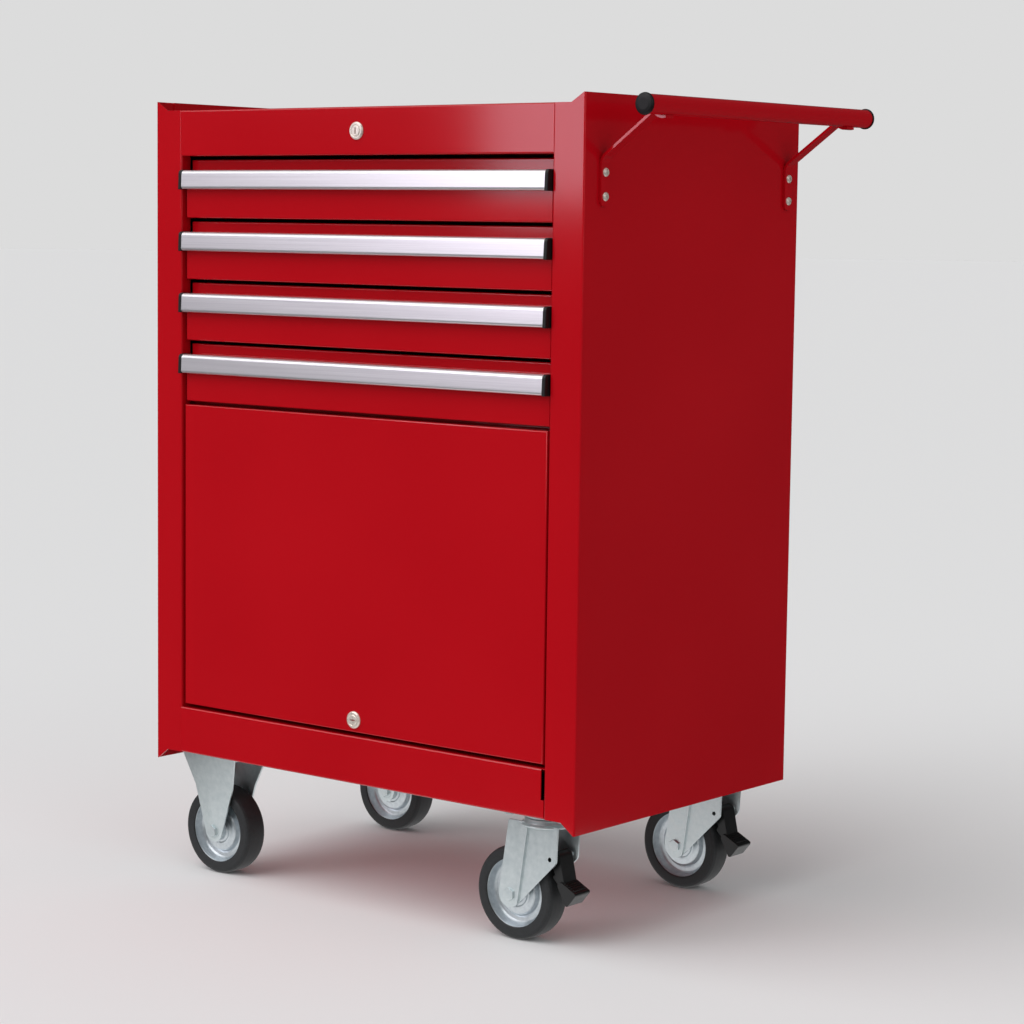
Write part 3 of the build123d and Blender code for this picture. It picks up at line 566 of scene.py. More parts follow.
def copy_of(piece, name, shift):
    """Copy a piece, with its own mesh, and set the copy's new place into that mesh."""
    only(piece)
    bpy.ops.object.duplicate(linked=False)
    twin = bpy.context.object
    twin.name = twin.data.name = name
    bpy.ops.transform.translate(value=shift)
    bpy.ops.object.transform_apply(location=True, rotation=False, scale=False)
    return twin


def mirrored(piece, name, flip, about):
    """Copy a piece to the other side of a plane, with its faces turned outwards again."""
    twin = copy_of(piece, name, (0, 0, 0))
    bpy.ops.object.mode_set(mode="EDIT")
    select_all()
    bpy.ops.transform.resize(value=flip, center_override=about)
    bpy.ops.mesh.flip_normals()
    close()
    return twin


def join(name, *pieces):
    """Make several meshes one piece."""
    only(pieces[0])
    for piece in pieces:
        piece.select_set(True)
    bpy.ops.object.join()
    pieces[0].name = pieces[0].data.name = name
    return pieces[0]


def place(piece, body, slot, solid):
    """Give a finished piece the finish of its slot and its body, and hide the solid that it stands for."""
    piece.data.materials.clear()
    piece.data.materials.append(finishes[slot])
    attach(piece, body)
    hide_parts(solid)
    print(piece.name, "on", body, "faces:", len(piece.data.polygons))


def place_copies(piece, shifts, body, slot, solid):
    """Copy a piece by each shift but the first, and place all. A {} stands for a shift's name."""
    first, *others = shifts
    twins = [copy_of(piece, piece.name.replace(first, spot), shifts[spot]) for spot in others]
    for spot, twin in zip(shifts, [piece, *twins]):
        place(twin, body.format(spot), slot, solid.format(spot))


print("piece helpers ready")

# %% [markdown]
# ## Side panels
# Each side is one sheet, folded to a wide post in front with a short return, and to a flange at
# the back. Its top edge is hemmed, which makes the rim safe to touch, and the post's two ends
# slant to meet the rails. Drawing the fold from above and pulling it up is closest to the press
# brake. The left panel is the mirror image of the right one.

# %% Side panels
sheet = 1.2 * MM
half_sheet = sheet / 2
bend_radius = 1.4 * MM
edge_radius = 0.25 * MM
rear_flange = 15 * MM
post_return = 14 * MM
slant_run = 18 * MM
post_setdown = 10 * MM
post_lift = 12 * MM
hem_height = 12 * MM
hem_front = 26 * MM
hem_back = 3.6 * MM
hem_spread = 1.08 * sheet
FLIP_X = (-1, 1, 1)
FLIP_Y = (1, -1, 1)


def red_sheet(piece, body, solid):
    """Give a folded sheet its thickness, its soft edges, its paint and its place."""
    thicken(piece, sheet)
    soften(piece, edge_radius)
    place(piece, body, "red_paint", solid)


low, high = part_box("right_side_panel")
left_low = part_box("left_side_panel")[0]
center_x = (left_low.x + high.x) / 2
wall_x = high.x - half_sheet
post_x = low.x + half_sheet
front_y = low.y + half_sheet
back_y = high.y - half_sheet
slant_x = high.x - slant_run
hem_start = low.y + hem_front
hem_end = high.y - hem_back
fold = [
    (high.x - rear_flange, back_y),
    (wall_x, back_y),
    (wall_x, hem_end),
    (wall_x, hem_start),
    (wall_x, front_y),
    (slant_x, front_y),
    (post_x, front_y),
    (post_x, low.y + post_return),
]
right_side = trace("right_side_sheet", [(x, y, low.z) for x, y in fold])
bends = ((wall_x, back_y), (wall_x, front_y), (post_x, front_y))
round_corners(lambda p, n: any(near(p.x, x) and near(p.y, y) for x, y in bends), bend_radius)
sweep(z=high.z - low.z)
post_end = slant_x + half_sheet
for end_z, slant in ((high.z, -post_setdown), (low.z, post_lift)):
    pick("VERT", lambda p, n: p.x < post_end and p.y < hem_start and near(p.z, end_z))
    move(z=slant)
hemmed = (hem_start - half_sheet, hem_end + half_sheet)
pick("VERT", lambda p, n: near(p.x, wall_x) and near(p.z, high.z) and hemmed[0] < p.y < hemmed[1])
move(z=-half_sheet)
pick("EDGE", lambda p, n: near(p.z, high.z - half_sheet) and hemmed[0] < p.y < hemmed[1])
pull(x=-hem_spread)
pull(z=half_sheet - hem_height)
left_side = mirrored(right_side, "left_side_sheet", FLIP_X, (center_x, 0, 0))
red_sheet(right_side, "cabinet", "right_side_panel")
red_sheet(left_side, "cabinet", "left_side_panel")

# %% [markdown]
# ## Back panel and top tray
# The back is a plain sheet with a hemmed top that lines up with the sides' rims. Two straps on
# its inside guide the lock's bar. It is drawn as a section and pulled across the cabinet's
# width, and a helper does so for every fold that runs from side to side.

# %% Back panel
strap_height = 20 * MM
strap_rises = (36.2 * MM, 244.4 * MM)
bar_sheet = 2.5 * MM


def round_bends(bends, radius, segments=bend_steps):
    """Round the bends of a section that is drawn as (y, z) points."""
    round_corners(lambda p, n: any(near(p.y, y) and near(p.z, z) for y, z in bends), radius, segments)


def folded(name, section, start, width, bends=(), radius=bend_radius):
    """Draw a section of (y, z) points, round its bends and pull it along X."""
    piece = trace(name, [(start, y, z) for y, z in section])
    if bends:
        round_bends(bends, radius)
    sweep(x=width)
    return piece


low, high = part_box("back_panel")
strap_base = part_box("drawer_4_box")[0].z
plate_y = high.y - half_sheet
rim_z = high.z - half_sheet
section = [
    (plate_y, low.z),
    (plate_y, rim_z),
    (plate_y - hem_spread, rim_z),
    (plate_y - hem_spread, high.z - hem_height),
]
back_sheet = folded("back_sheet", section, low.x, high.x - low.x)
thicken(back_sheet, sheet)
bar_low, bar_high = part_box("lock_bar")
bar_front = bar_high.y - bar_sheet - sheet
span = (bar_low.x - sheet, bar_high.x + sheet)
loop = [(span[0], plate_y), (span[0], bar_front), (span[1], bar_front), (span[1], plate_y)]
straps = []
for rise in strap_rises:
    bottom = strap_base + rise - strap_height / 2
    strap = trace("lock_bar_strap", [(x, y, bottom) for x, y in loop])
    sweep(z=strap_height)
    thicken(strap, sheet)
    straps.append(strap)
join("back_sheet", back_sheet, *straps)
soften(back_sheet, edge_radius)
place(back_sheet, "cabinet", "red_paint", "back_panel")

# %% [markdown]
# The top is a shallow tray for small parts: a floor sheet that lies a little below the rims of
# the side panels, with its rear edge folded down against the back. A narrow tab at each front
# corner reaches past the end of the top rail.

# %% Top tray
low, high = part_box("top_tray")
tab_reach = 24 * MM
tab_gap = 0.3 * MM
floor_z = high.z - half_sheet
rear_y = high.y - half_sheet
section = [(low.y + tab_reach, floor_z), (rear_y, floor_z), (rear_y, low.z)]
tray = folded("tray_sheet", section, low.x, high.x - low.x, section[1:-1])
tab_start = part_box("right_side_panel")[0].x + sheet + tab_gap
for tab_edge in (tab_start, 2 * center_x - tab_start):
    cut((tab_edge, 0, 0), (1, 0, 0))
tab_half = tab_start - center_x
pick("EDGE", lambda p, n: near(p.y, low.y + tab_reach) and abs(p.x - center_x) > tab_half + tab_gap)
pull(y=-tab_reach)
red_sheet(tray, "cabinet", "top_tray")

# %% [markdown]
# ## Front rails
# The top rail is a hat-shaped fold that stands on the tray and carries the upper lock. The
# bottom rail is a channel with a lipped sill, and its right end has a narrow notch under the
# door. Each is a section, with rounded bends, pulled across the opening. The ends tuck into the
# rounded bends of the posts, so the seams hardly show, as where a real rail is spot welded.

# %% Top rail
low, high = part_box("top_front_rail")
lower_flange = 18 * MM
seam_cover = 1.2 * MM
face_y = low.y + half_sheet
section = [
    (low.y + lower_flange, low.z + half_sheet),
    (face_y, low.z + half_sheet),
    (face_y, high.z - half_sheet),
    (high.y - half_sheet, high.z - half_sheet),
    (high.y - half_sheet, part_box("top_tray")[1].z - sheet),
]
rail_length = high.x - low.x + 2 * seam_cover
top_rail = folded("top_rail_sheet", section, low.x - seam_cover, rail_length, section[1:-1])
red_sheet(top_rail, "cabinet", "top_front_rail")

# %% [markdown]
# The bottom rail is the same kind of fold with one more bend. The section is pulled along in two
# steps, because the short last step is where the notch is: its faces above the notch are deleted
# before the sheet gets its thickness.

# %% Bottom rail
low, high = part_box("bottom_front_rail")
toe_flange = 10 * MM
sill_lip = 8 * MM
notch_width = 4 * MM
notch_height = 33 * MM
notch_x = high.x - notch_width
notch_z = high.z - notch_height
section = [
    (low.y + toe_flange, low.z + half_sheet),
    (face_y, low.z + half_sheet),
    (face_y, notch_z),
    (face_y, high.z - half_sheet),
    (high.y - half_sheet, high.z - half_sheet),
    (high.y - half_sheet, high.z - sill_lip),
]
bends = (section[1], section[3], section[4])
to_notch = high.x - low.x - notch_width + seam_cover
bottom_rail = folded("bottom_rail_sheet", section, low.x - seam_cover, to_notch, bends)
pull(x=notch_width)
remove_faces(lambda p, n: p.x > notch_x and p.y < face_y + bend_radius and p.z > notch_z)
red_sheet(bottom_rail, "cabinet", "bottom_front_rail")

# %% [markdown]
# ## Door
# The door is a shallow pan: one sheet with its four edges folded back. A box without its rear
# face is that pan's middle surface. Beveling the front edges gives the soft folded rim that
# shows as a fine line of light round the door.

# %% Door
door_fold = 1.2 * MM
low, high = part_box("door_panel")
pan_low = low + Vector((half_sheet, half_sheet, half_sheet))
pan_high = high - Vector((half_sheet, 0, half_sheet))
door = block("door_sheet", pan_low, pan_high)
remove_faces(lambda p, n: n.y > facing)
round_edges(lambda p, n: near(p.y, pan_low.y), door_fold, fold_steps)
red_sheet(door, "door", "door_panel")

# %% [markdown]
# ## Drawers
# A drawer is a folded box with a taller front. The front sheet steps back above the pull, which
# leaves room for the fingers and shows as a dark band. One drawer is modelled whole, with the
# slot in its floor that the lock's finger reaches into, and copied down three times.

# %% Drawers
drawer_sheet = 1.0 * MM
half_drawer = drawer_sheet / 2
front_depth = 13 * MM
finger_recess = 9 * MM
front_fold = 1.2 * MM
floor_rise = 12 * MM
wall_height = 41 * MM
box_fold = 1.5 * MM
slide_room = 12.7 * MM
slot_size = Vector((24, 11, 10)) * MM
slot_back = 14.5 * MM
drawer_names = [f"drawer_{number}" for number in (1, 2, 3, 4)]


def drops(solid):
    """Shifts from the first drawer's solid of a kind to that of every drawer."""
    heights = {drawer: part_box(f"{drawer}_{solid}")[0].z for drawer in drawer_names}
    return {drawer: (0, 0, height - heights["drawer_1"]) for drawer, height in heights.items()}


low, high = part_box("drawer_1_box")
ledge_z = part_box("drawer_1_trim")[1].z
set_back = low.y + finger_recess
turned_in = low.y + front_depth
section = [
    (turned_in, low.z + half_drawer),
    (low.y + half_drawer, low.z + half_drawer),
    (low.y + half_drawer, ledge_z - half_drawer),
    (set_back + half_drawer, ledge_z - half_drawer),
    (set_back + half_drawer, high.z - half_drawer),
    (turned_in, high.z - half_drawer),
]
drawer_front = folded("drawer_front_sheet", section, low.x, high.x - low.x, section[1:-1], front_fold)
thicken(drawer_front, drawer_sheet)
lips = []
for lip_x in (low.x, high.x - drawer_sheet):
    for lip_y, bottom, top in ((low.y, low.z, ledge_z), (set_back, ledge_z - drawer_sheet, high.z)):
        start = Vector((lip_x, lip_y + front_fold, bottom + edge_radius))
        end = Vector((lip_x + drawer_sheet, turned_in, top - edge_radius))
        lips.append(block("drawer_lip", start, end))
        close()

box_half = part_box("right_side_panel")[0].x - center_x - slide_room
pan_half = box_half - half_drawer
pan_floor = low.z + floor_rise
box_low = Vector((center_x - pan_half, low.y + half_drawer, pan_floor + half_drawer))
box_high = Vector((center_x + pan_half, high.y - half_drawer, pan_floor + wall_height))
drawer_pan = block("drawer_pan_sheet", box_low, box_high)
remove_faces(lambda p, n: n.z > facing or n.y < -facing)
round_edges(lambda p, n: near(p.z, box_low.z) and p.y > box_low.y + half_drawer, box_fold, bend_steps)
thicken(drawer_pan, drawer_sheet)
carve(drawer_pan, Vector((center_x, high.y - slot_back, box_low.z)), slot_size)
drawer = join("drawer_1_sheet", drawer_front, drawer_pan, *lips)
soften(drawer, edge_radius)
place_copies(drawer, drops("box"), "{}", "red_paint", "{}_box")

# %% [markdown]
# ## Drawer pulls
# Each pull is an aluminium extrusion: a web on the drawer front, a flat top and a lip that leans
# back, open below for the fingers. The lip's lower edge is rolled in so that it doesn't cut. The
# section is drawn from the end, its corners rounded, and pulled along the drawer. Black plugs
# close both ends.

# %% Pulls and their end plugs
pull_wall = 1.6 * MM
half_wall = pull_wall / 2
pull_lean = 1 * MM
nose_radius = 3.2 * MM
roll_radius = 2.4 * MM
roll_reach = 3.6 * MM
plug_length = 4.5 * MM
plug_nose = 4 * MM
plug_edge = 0.8 * MM

low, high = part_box("drawer_1_trim")
nose = (low.y + pull_lean + half_wall, high.z - half_wall)
roll = (low.y + half_wall, low.z + half_wall)
section = [
    (high.y - half_wall, low.z),
    (high.y - half_wall, high.z - half_wall),
    nose,
    roll,
    (low.y + roll_reach, low.z + half_wall),
]
pull_piece = trace("drawer_1_pull", [(low.x, y, z) for y, z in section])
round_bends([nose], nose_radius, round_steps)
round_bends([roll], roll_radius, round_steps)
sweep(x=high.x - low.x)
thicken(pull_piece, pull_wall)
soften(pull_piece, edge_radius)

cap_low, cap_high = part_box("drawer_1_trim_caps")
nose = (cap_low.y + pull_lean, cap_high.z)
section = [(cap_high.y, cap_low.z), (cap_high.y, cap_high.z), nose, (cap_low.y, cap_low.z)]
right_plug = trace("drawer_1_plugs", [(cap_high.x - plug_length, y, z) for y, z in section])
fill()
round_bends([nose], plug_nose, round_steps)
sweep(x=plug_length)
face_out()
plugs = join("drawer_1_plugs", right_plug, mirrored(right_plug, "left_plug", FLIP_X, (center_x, 0, 0)))
soften(plugs, plug_edge, segments=3)
place_copies(pull_piece, drops("trim"), "{}", "anodised_trim", "{}_trim")
place_copies(plugs, drops("trim"), "{}", "black_plastic", "{}_trim_caps")

# %% [markdown]
# ## Turned pieces
# Locks, caps, screws and wheels are all turned: their outline is drawn on one side of an axle
# and spun round it. The helper takes the outline as pairs of radius and depth along the axle.

# %% A lathe
AXES = {
    "X": (Vector((1, 0, 0)), Vector((0, 1, 0))),
    "Y": (Vector((0, 1, 0)), Vector((1, 0, 0))),
    "Z": (Vector((0, 0, 1)), Vector((1, 0, 0))),
}
HEX_TURNS = {"Y": (math.pi / 2, 0, 0), "Z": (0, 0, 0)}
turned_edge = 0.2 * MM
pressed_edge = 0.5 * MM
turned_steps = 3
coarse_turn = 24
small_turn = 32
fine_turn = 96
hex_smooth_deg = 35


def lathe(name, center, axle, outline, rounding=0, steps=64):
    """Spin an outline of (radius, depth) pairs in millimetres about an axle through a centre."""
    along, outwards = AXES[axle]
    piece = trace(name, [center + outwards * radius * MM + along * depth * MM for radius, depth in outline])
    weld()
    if rounding:
        round_corners(lambda p, n: (p - center).dot(outwards) > half_sheet, rounding, turned_steps)
    select_all()
    bpy.ops.mesh.spin(steps=steps, angle=math.tau, center=center, axis=along)
    weld()
    face_out()
    close()
    return piece


def both_sides(half):
    """Close an outline with the mirror image of its half."""
    return [*half, *((radius, -depth) for radius, depth in reversed(half)), half[0]]


def hexagon(name, center, axle, radius, length):
    """Six-sided head or nut with softened corners, its middle at the centre."""
    size = {"vertices": 6, "radius": radius, "depth": length}
    turn = HEX_TURNS[axle]
    piece = begin(name, bpy.ops.mesh.primitive_cylinder_add, location=center, rotation=turn, **size)
    soften(piece, pressed_edge, smooth_deg=hex_smooth_deg)
    return piece


print("lathe ready")

# %% [markdown]
# ## Cam locks
# Two bright cam locks: one in the top rail, one low on the door. The housing is a rounded
# collar on a threaded barrel with a nut behind the sheet, and the plug inside it turns with the
# key. The keyway is cut with a Boolean, upright in the rail and level in the door.

# %% Cam locks
collar = [
    (6.05, 0.6), (6.6, 0), (8.3, 0), (9.5, 1.2), (9.5, 2.5),
    (8, 2.5), (8, 22.5), (6.05, 22.5), (6.05, 0.6),
]
key_plug = [(0, 0), (5.3, 0), (6, 0.7), (6, 22.9), (3.5, 22.9), (3.5, 25.4), (0, 25.4)]
key_plug_edge = 0.15 * MM
lock_nut_radius = 11 * MM
lock_nut_length = 4 * MM
lock_nut_depth = 5.7 * MM
keyway = Vector((1.6, 8, 7)) * MM
level_keyway = Vector((7, 8, 1.6)) * MM

for lock, body, slot_shape in (("top_lock", "cabinet", keyway), ("door_lock", "door", level_keyway)):
    low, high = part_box(f"{lock}_housing")
    face = Vector(((low.x + high.x) / 2, low.y, (low.z + high.z) / 2))
    housing = lathe(f"{lock}_collar", face, "Y", collar, turned_edge)
    nut_middle = face + Vector((0, lock_nut_depth, 0))
    nut = hexagon("lock_nut", nut_middle, "Y", lock_nut_radius, lock_nut_length)
    housing = join(f"{lock}_collar", housing, nut)
    polish(housing)
    place(housing, body, "bright_chrome", f"{lock}_housing")
    plug_front = Vector((face.x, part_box(f"{lock}_plug")[0].y, face.z))
    plug = lathe(f"{lock}_key_plug", plug_front, "Y", key_plug, key_plug_edge)
    carve(plug, plug_front, slot_shape)
    polish(plug)
    place(plug, lock, "bright_chrome", f"{lock}_plug")

# %% [markdown]
# ## Push handle
# A red steel tube with black end caps lies in two saddles at the ends of strip brackets. The
# strip is drawn as one bent line: up the side, out along the slanted arm and a little way round
# under the tube. The saddle's arc comes from the circle's formula.

# %% Tube and end caps
tube_wall = 1.5 * MM
tube_sides = 64
low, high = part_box("handle_tube")
tube_middle = (low + high) / 2
tube_radius = (high.z - low.z) / 2
tube = begin(
    "push_tube",
    bpy.ops.mesh.primitive_cylinder_add,
    vertices=tube_sides,
    radius=tube_radius - tube_wall / 2,
    depth=high.y - low.y,
    end_fill_type="NOTHING",
    location=tube_middle,
    rotation=HEX_TURNS["Y"],
)
thicken(tube, tube_wall)
soften(tube, edge_radius)
place(tube, "cabinet", "red_paint", "handle_tube")

cap_outline = [
    (0, 0), (6, 0), (9.6, 0.6), (11.1, 2.2), (11.3, 4), (8.4, 4), (8.4, 18), (7.4, 19), (0, 19),
]
cap_edge = 0.5 * MM
cap_front = Vector((tube_middle.x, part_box("handle_end_caps")[0].y, tube_middle.z))
front_cap = lathe("push_tube_caps", cap_front, "Y", cap_outline, cap_edge)
tube_caps = join("push_tube_caps", front_cap, mirrored(front_cap, "rear_cap", FLIP_Y, tube_middle))
polish(tube_caps)
place(tube_caps, "cabinet", "black_plastic", "handle_end_caps")

# %% [markdown]
# The brackets are flat bar, bent in a press and welded to the tube. A bar that is bent one way
# only is quickest as a line: it is traced, its bend rounded, and pulled to the bar's width.

# %% Brackets
strip_width = 14 * MM
strip_sheet = 3 * MM
half_strip = strip_sheet / 2
tab_length = 50 * MM
saddle_join_deg = 205
saddle_end_deg = 290
saddle_steps = 10
strip_bend = 6 * MM
tab_corner = 5.5 * MM

low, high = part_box("handle_brackets")
strip_x = low.x + half_strip
root_z = low.z + tab_length
saddle_radius = high.x - tube_middle.x - half_strip
saddle = []
for step in range(saddle_steps + 1):
    angle = math.radians(saddle_join_deg + (saddle_end_deg - saddle_join_deg) * step / saddle_steps)
    across, up = math.cos(angle), math.sin(angle)
    saddle.append((tube_middle.x + saddle_radius * across, tube_middle.z + saddle_radius * up))
strip = [(strip_x, low.z), (strip_x, root_z - half_strip), *saddle]
bracket = trace("front_bracket", [(x, low.y, z) for x, z in strip])
round_corners(lambda p, n: near(p.x, strip_x) and p.z > root_z - tab_corner, strip_bend)
sweep(y=strip_width)
thicken(bracket, strip_sheet)
bpy.ops.object.mode_set(mode="EDIT")
round_edges(lambda p, n: near(p.z, low.z) and abs(n.x) > facing, tab_corner, round_steps)
soften(bracket, pressed_edge)
to_rear = (0, high.y - low.y - strip_width, 0)
brackets = join("handle_strips", bracket, copy_of(bracket, "rear_bracket", to_rear))
place(brackets, "cabinet", "red_paint", "handle_brackets")

# %% [markdown]
# Pan-head screws hold each bracket to the side. One is turned on the lathe, its cross is cut out
# with two thin blocks, and the other three are copies.

# %% Bracket screws
screw_outline = [(0, 2.6), (2.4, 2.45), (3.8, 1.7), (4.5, 0.7), (4.5, 0), (2.2, 0), (2.2, -12), (0, -12)]
screw_edge = 0.3 * MM
cross_arms = (Vector((3, 4.6, 1)) * MM, Vector((3, 1, 4.6)) * MM)
head_height = 2.6 * MM
head_radius = 4.5 * MM
low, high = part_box("handle_screws")
first = Vector((high.x - head_height, low.y + head_radius, low.z + head_radius))
screw = lathe("bracket_screw", first, "X", screw_outline, screw_edge, small_turn)
for arm in cross_arms:
    carve(screw, first + Vector((head_height, 0, 0)), arm)
polish(screw)
screw_step = high.z - low.z - 2 * head_radius
bracket_step = high.y - low.y - 2 * head_radius
shifts = ((0, 0, screw_step), (0, bracket_step, 0), (0, bracket_step, screw_step))
screws = [screw] + [copy_of(screw, "bracket_screw_copy", shift) for shift in shifts]
bracket_screws = join("bracket_screws", *screws)
place(bracket_screws, "cabinet", "bright_chrome", "handle_screws")

# %% [markdown]
# ## Wheels
# All four wheels are alike: a black tyre with round shoulders on a dished metal rim. Both are
# turned on the lathe about the axle, once, and copied to the other three places. Fine steps in
# the rim's outline give the bright rings that turning leaves.

# %% Tyres and rims
tyre_half = [
    (42.1, 13.3), (37.4, 13.3), (37.2, 13.7), (37.8, 14.5), (40, 15), (46.4, 15),
    (49.2, 13.8), (50.6, 10.5), (51, 4),
]
tyre_edge = 0.6 * MM
rim_half = [
    (5.1, 17.4), (11, 17.4), (12, 16.4), (12, 11.2), (14.5, 10.2), (16, 10.8), (17.5, 10), (23.4, 9.6),
    (24.6, 8.6), (26.8, 3.6), (29, 2.8), (33, 3.2), (34.6, 4.8), (36.6, 9.6), (37.4, 12.6), (38.4, 13),
    (42, 13),
]
rim_edge = 0.35 * MM
wheels = ("front_left", "front_right", "rear_left", "rear_right")


def wheel_middle(wheel):
    low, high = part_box(f"{wheel}_tyre")
    return (low + high) / 2


first_middle = wheel_middle("front_left")
first_tyre = lathe("front_left_tread", first_middle, "Y", both_sides(tyre_half), tyre_edge, fine_turn)
first_rim = lathe("front_left_dish", first_middle, "Y", both_sides(rim_half), rim_edge, fine_turn)
polish(first_tyre)
polish(first_rim)
wheel_shifts = {wheel: wheel_middle(wheel) - first_middle for wheel in wheels}
place_copies(first_tyre, wheel_shifts, "{}_wheel", "tyre_rubber", "{}_tyre")
place_copies(first_rim, wheel_shifts, "{}_wheel", "cast_rim", "{}_rim")

# %% [markdown]
# ## Caster forks
# The forks are pressed from thick sheet and zinc plated. A leg is drawn as the taut line round
# a few circles: its top corners, the axle's boss and, on a swivel fork, the pedal's lug. Two
# cuts across a rigid leg give it a corner in the middle, and pulling that corner out makes the
# upright crease that stiffens a real leg. A swivel leg is cut once, and its outer strip is
# pulled forward by a step.

# %% Fork helpers
fork_sheet = 2.5 * MM
leg_offset = 18.75 * MM
leg_smooth_deg = 25
plate_sheet = 2.5 * MM
plate_half = Vector((45, 30, 0)) * MM
plate_corner = 6.5 * MM
boss_radius = 13 * MM
line_steps = 90
rear_shift = wheel_middle("rear_left") - wheel_middle("front_left")
end_shifts = {"front": Vector((0, 0, 0)), "rear": rear_shift}


def taut_line(circles):
    """Points of the taut line round circles, each given as (x, z, radius)."""
    points = []
    for step in range(line_steps):
        angle = math.tau * step / line_steps
        across, up = math.cos(angle), math.sin(angle)
        x, z, radius = max(circles, key=lambda circle: circle[0] * across + circle[1] * up + circle[2])
        points.append((x + radius * across, z + radius * up))
    return points


def mount_plate(name, middle, top):
    """Mounting plate with round corners, its top at a height."""
    low = Vector((middle.x - plate_half.x, middle.y - plate_half.y, top - plate_sheet))
    plate = block(name, low, Vector((middle.x + plate_half.x, middle.y + plate_half.y, top)))
    round_edges(lambda p, n: abs(n.z) > facing, plate_corner, round_steps)
    soften(plate, pressed_edge)
    return plate


def leg_pair(leg, middle):
    """Give a leg its thickness and soft edges, and mirror it to the far side of the wheel."""
    thicken(leg, fork_sheet)
    soften(leg, pressed_edge, smooth_deg=leg_smooth_deg)
    return leg, mirrored(leg, "far_leg", FLIP_Y, middle)


print("fork helpers ready")

# %% [markdown]
# The left forks don't turn. Each leg is wide at the plate, leans outwards and has an upright
# crease, so the light breaks in two on it.

# %% Rigid forks on the left
flare_half = 43 * MM
flare_rise = 52 * MM
flare_out = 9.5 * MM
crease_out = 7 * MM
top_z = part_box("rigid_caster_forks")[1].z
axle = wheel_middle("front_left")
leg_top = top_z - plate_sheet / 2
corners = [(axle.x + side * flare_half, leg_top, 0) for side in (-1, 1)]
line = taut_line([*corners, (axle.x, axle.z, boss_radius)])
leg = trace("rigid_leg", [(x, axle.y - leg_offset, z) for x, z in line])
fill()
knee_z = axle.z + flare_rise
cut((axle.x, 0, 0), (1, 0, 0))
cut((0, 0, knee_z), (0, 0, 1))
pick("VERT", lambda p, n: near(p.z, leg_top))
move(y=-flare_out)
pick("VERT", lambda p, n: near(p.z, knee_z) and near(p.x, axle.x))
move(y=-crease_out)
legs = leg_pair(leg, axle)
front_fork = join("front_rigid_fork", mount_plate("rigid_plate", axle, top_z), *legs)
rigid_forks = join("rigid_forks", front_fork, copy_of(front_fork, "rear_rigid_fork", rear_shift))
place(rigid_forks, "cabinet", "zinc_plated_steel", "rigid_caster_forks")

# %% [markdown]
# The right forks turn on a ball race under their plates and trail behind it, so they follow when
# the cabinet is pushed. The race and the fork's crown are turned on the lathe.

# %% Swivel plates and forks on the right
trail = 35 * MM
race_outline = [
    (0, 0), (26, 0), (26, -4.6), (24.6, -6.2), (6, -6.2), (6, -15.2),
    (10, -15.5), (10, -17.6), (8.6, -18.7), (0, -18.7),
]
race_edge = 0.3 * MM
crown_outline = [
    (6.1, 0), (6.1, -8.7), (28.6, -8.7), (30, -7.4), (30, -6.2),
    (28.8, -5.7), (26.4, -4.6), (26, -1), (25, 0), (6.1, 0),
]
crown_edge = 0.4 * MM
crown_drop = 5.7 * MM
crown_half = 27 * MM
strip_reach = 36 * MM
strip_step = 2.5 * MM
crease_top_x = -12 * MM
crease_foot_x = 11 * MM
lug_radius = 8.5 * MM
lug_shares = (1.02, 0.88)
wheel_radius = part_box("front_right_tyre")[1].z / 2

axle = wheel_middle("front_right")
kingpin = Vector((axle.x + trail, axle.y, 0))
plate_bottom = top_z - plate_sheet
crown_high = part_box("front_swivel_fork")[1].z
crown_top = crown_high - crown_drop
lug = (axle.x + lug_shares[0] * wheel_radius, axle.z + lug_shares[1] * wheel_radius)

race = lathe("swivel_race", kingpin + Vector((0, 0, plate_bottom)), "Z", race_outline, race_edge)
polish(race)
front_plate = join("front_swivel_plate", mount_plate("swivel_plate", kingpin, top_z), race)
swivel_plates = join("swivel_plates", front_plate, copy_of(front_plate, "rear_swivel_plate", rear_shift))
place(swivel_plates, "cabinet", "zinc_plated_steel", "swivel_caster_plates")

crown = lathe("swivel_crown", kingpin + Vector((0, 0, crown_high)), "Z", crown_outline, crown_edge)
polish(crown)
corners = [(kingpin.x - strip_reach, crown_top, 0), (kingpin.x + crown_half, crown_top, 0)]
line = taut_line([*corners, (axle.x, axle.z, boss_radius), (*lug, lug_radius)])
leg = trace("swivel_leg", [(x, axle.y - leg_offset, z) for x, z in line])
fill()
crease_foot = Vector((axle.x + crease_foot_x, 0, axle.z))
crease_run = Vector((kingpin.x + crease_top_x, 0, crown_top)) - crease_foot
right_of = Vector((crease_run.z, 0, -crease_run.x)).normalized()
cut(crease_foot, right_of)
pick("FACE", lambda p, n: (p - crease_foot).dot(right_of) < 0)
pull(y=-strip_step)
front_fork = join("front_swivel_yoke", crown, *leg_pair(leg, axle))
place_copies(front_fork, end_shifts, "{}_swivel", "zinc_plated_steel", "{}_swivel_fork")

# %% [markdown]
# ## Bolts and pins
# The axle bolts show at the middle of every wheel: a hexagon head on a washer, with a nut on the
# far side. One is made and copied. The plates' bolts are smaller and sit under the plates.

# %% Bolts and pins
fork_outer = 20 * MM
head_length = 5 * MM
axle_head_radius = 7.5 * MM
washer_outline = [(5.1, 0), (9.6, 0), (9.6, -1.1), (5.1, -1.1), (5.1, 0)]
pin_outline = [(0, -20), (2.6, -20), (3, -19.6), (3, 19.6), (2.6, 20), (0, 20)]
shank_outline = [(0, -20), (5, -20), (5, 20), (0, 20)]
plate_bolt_radius = 6.5 * MM
plate_bolt_half = Vector((36, 22, 0)) * MM
plate_shank = [(0, 0), (4, 0), (4, 10), (0, 10)]


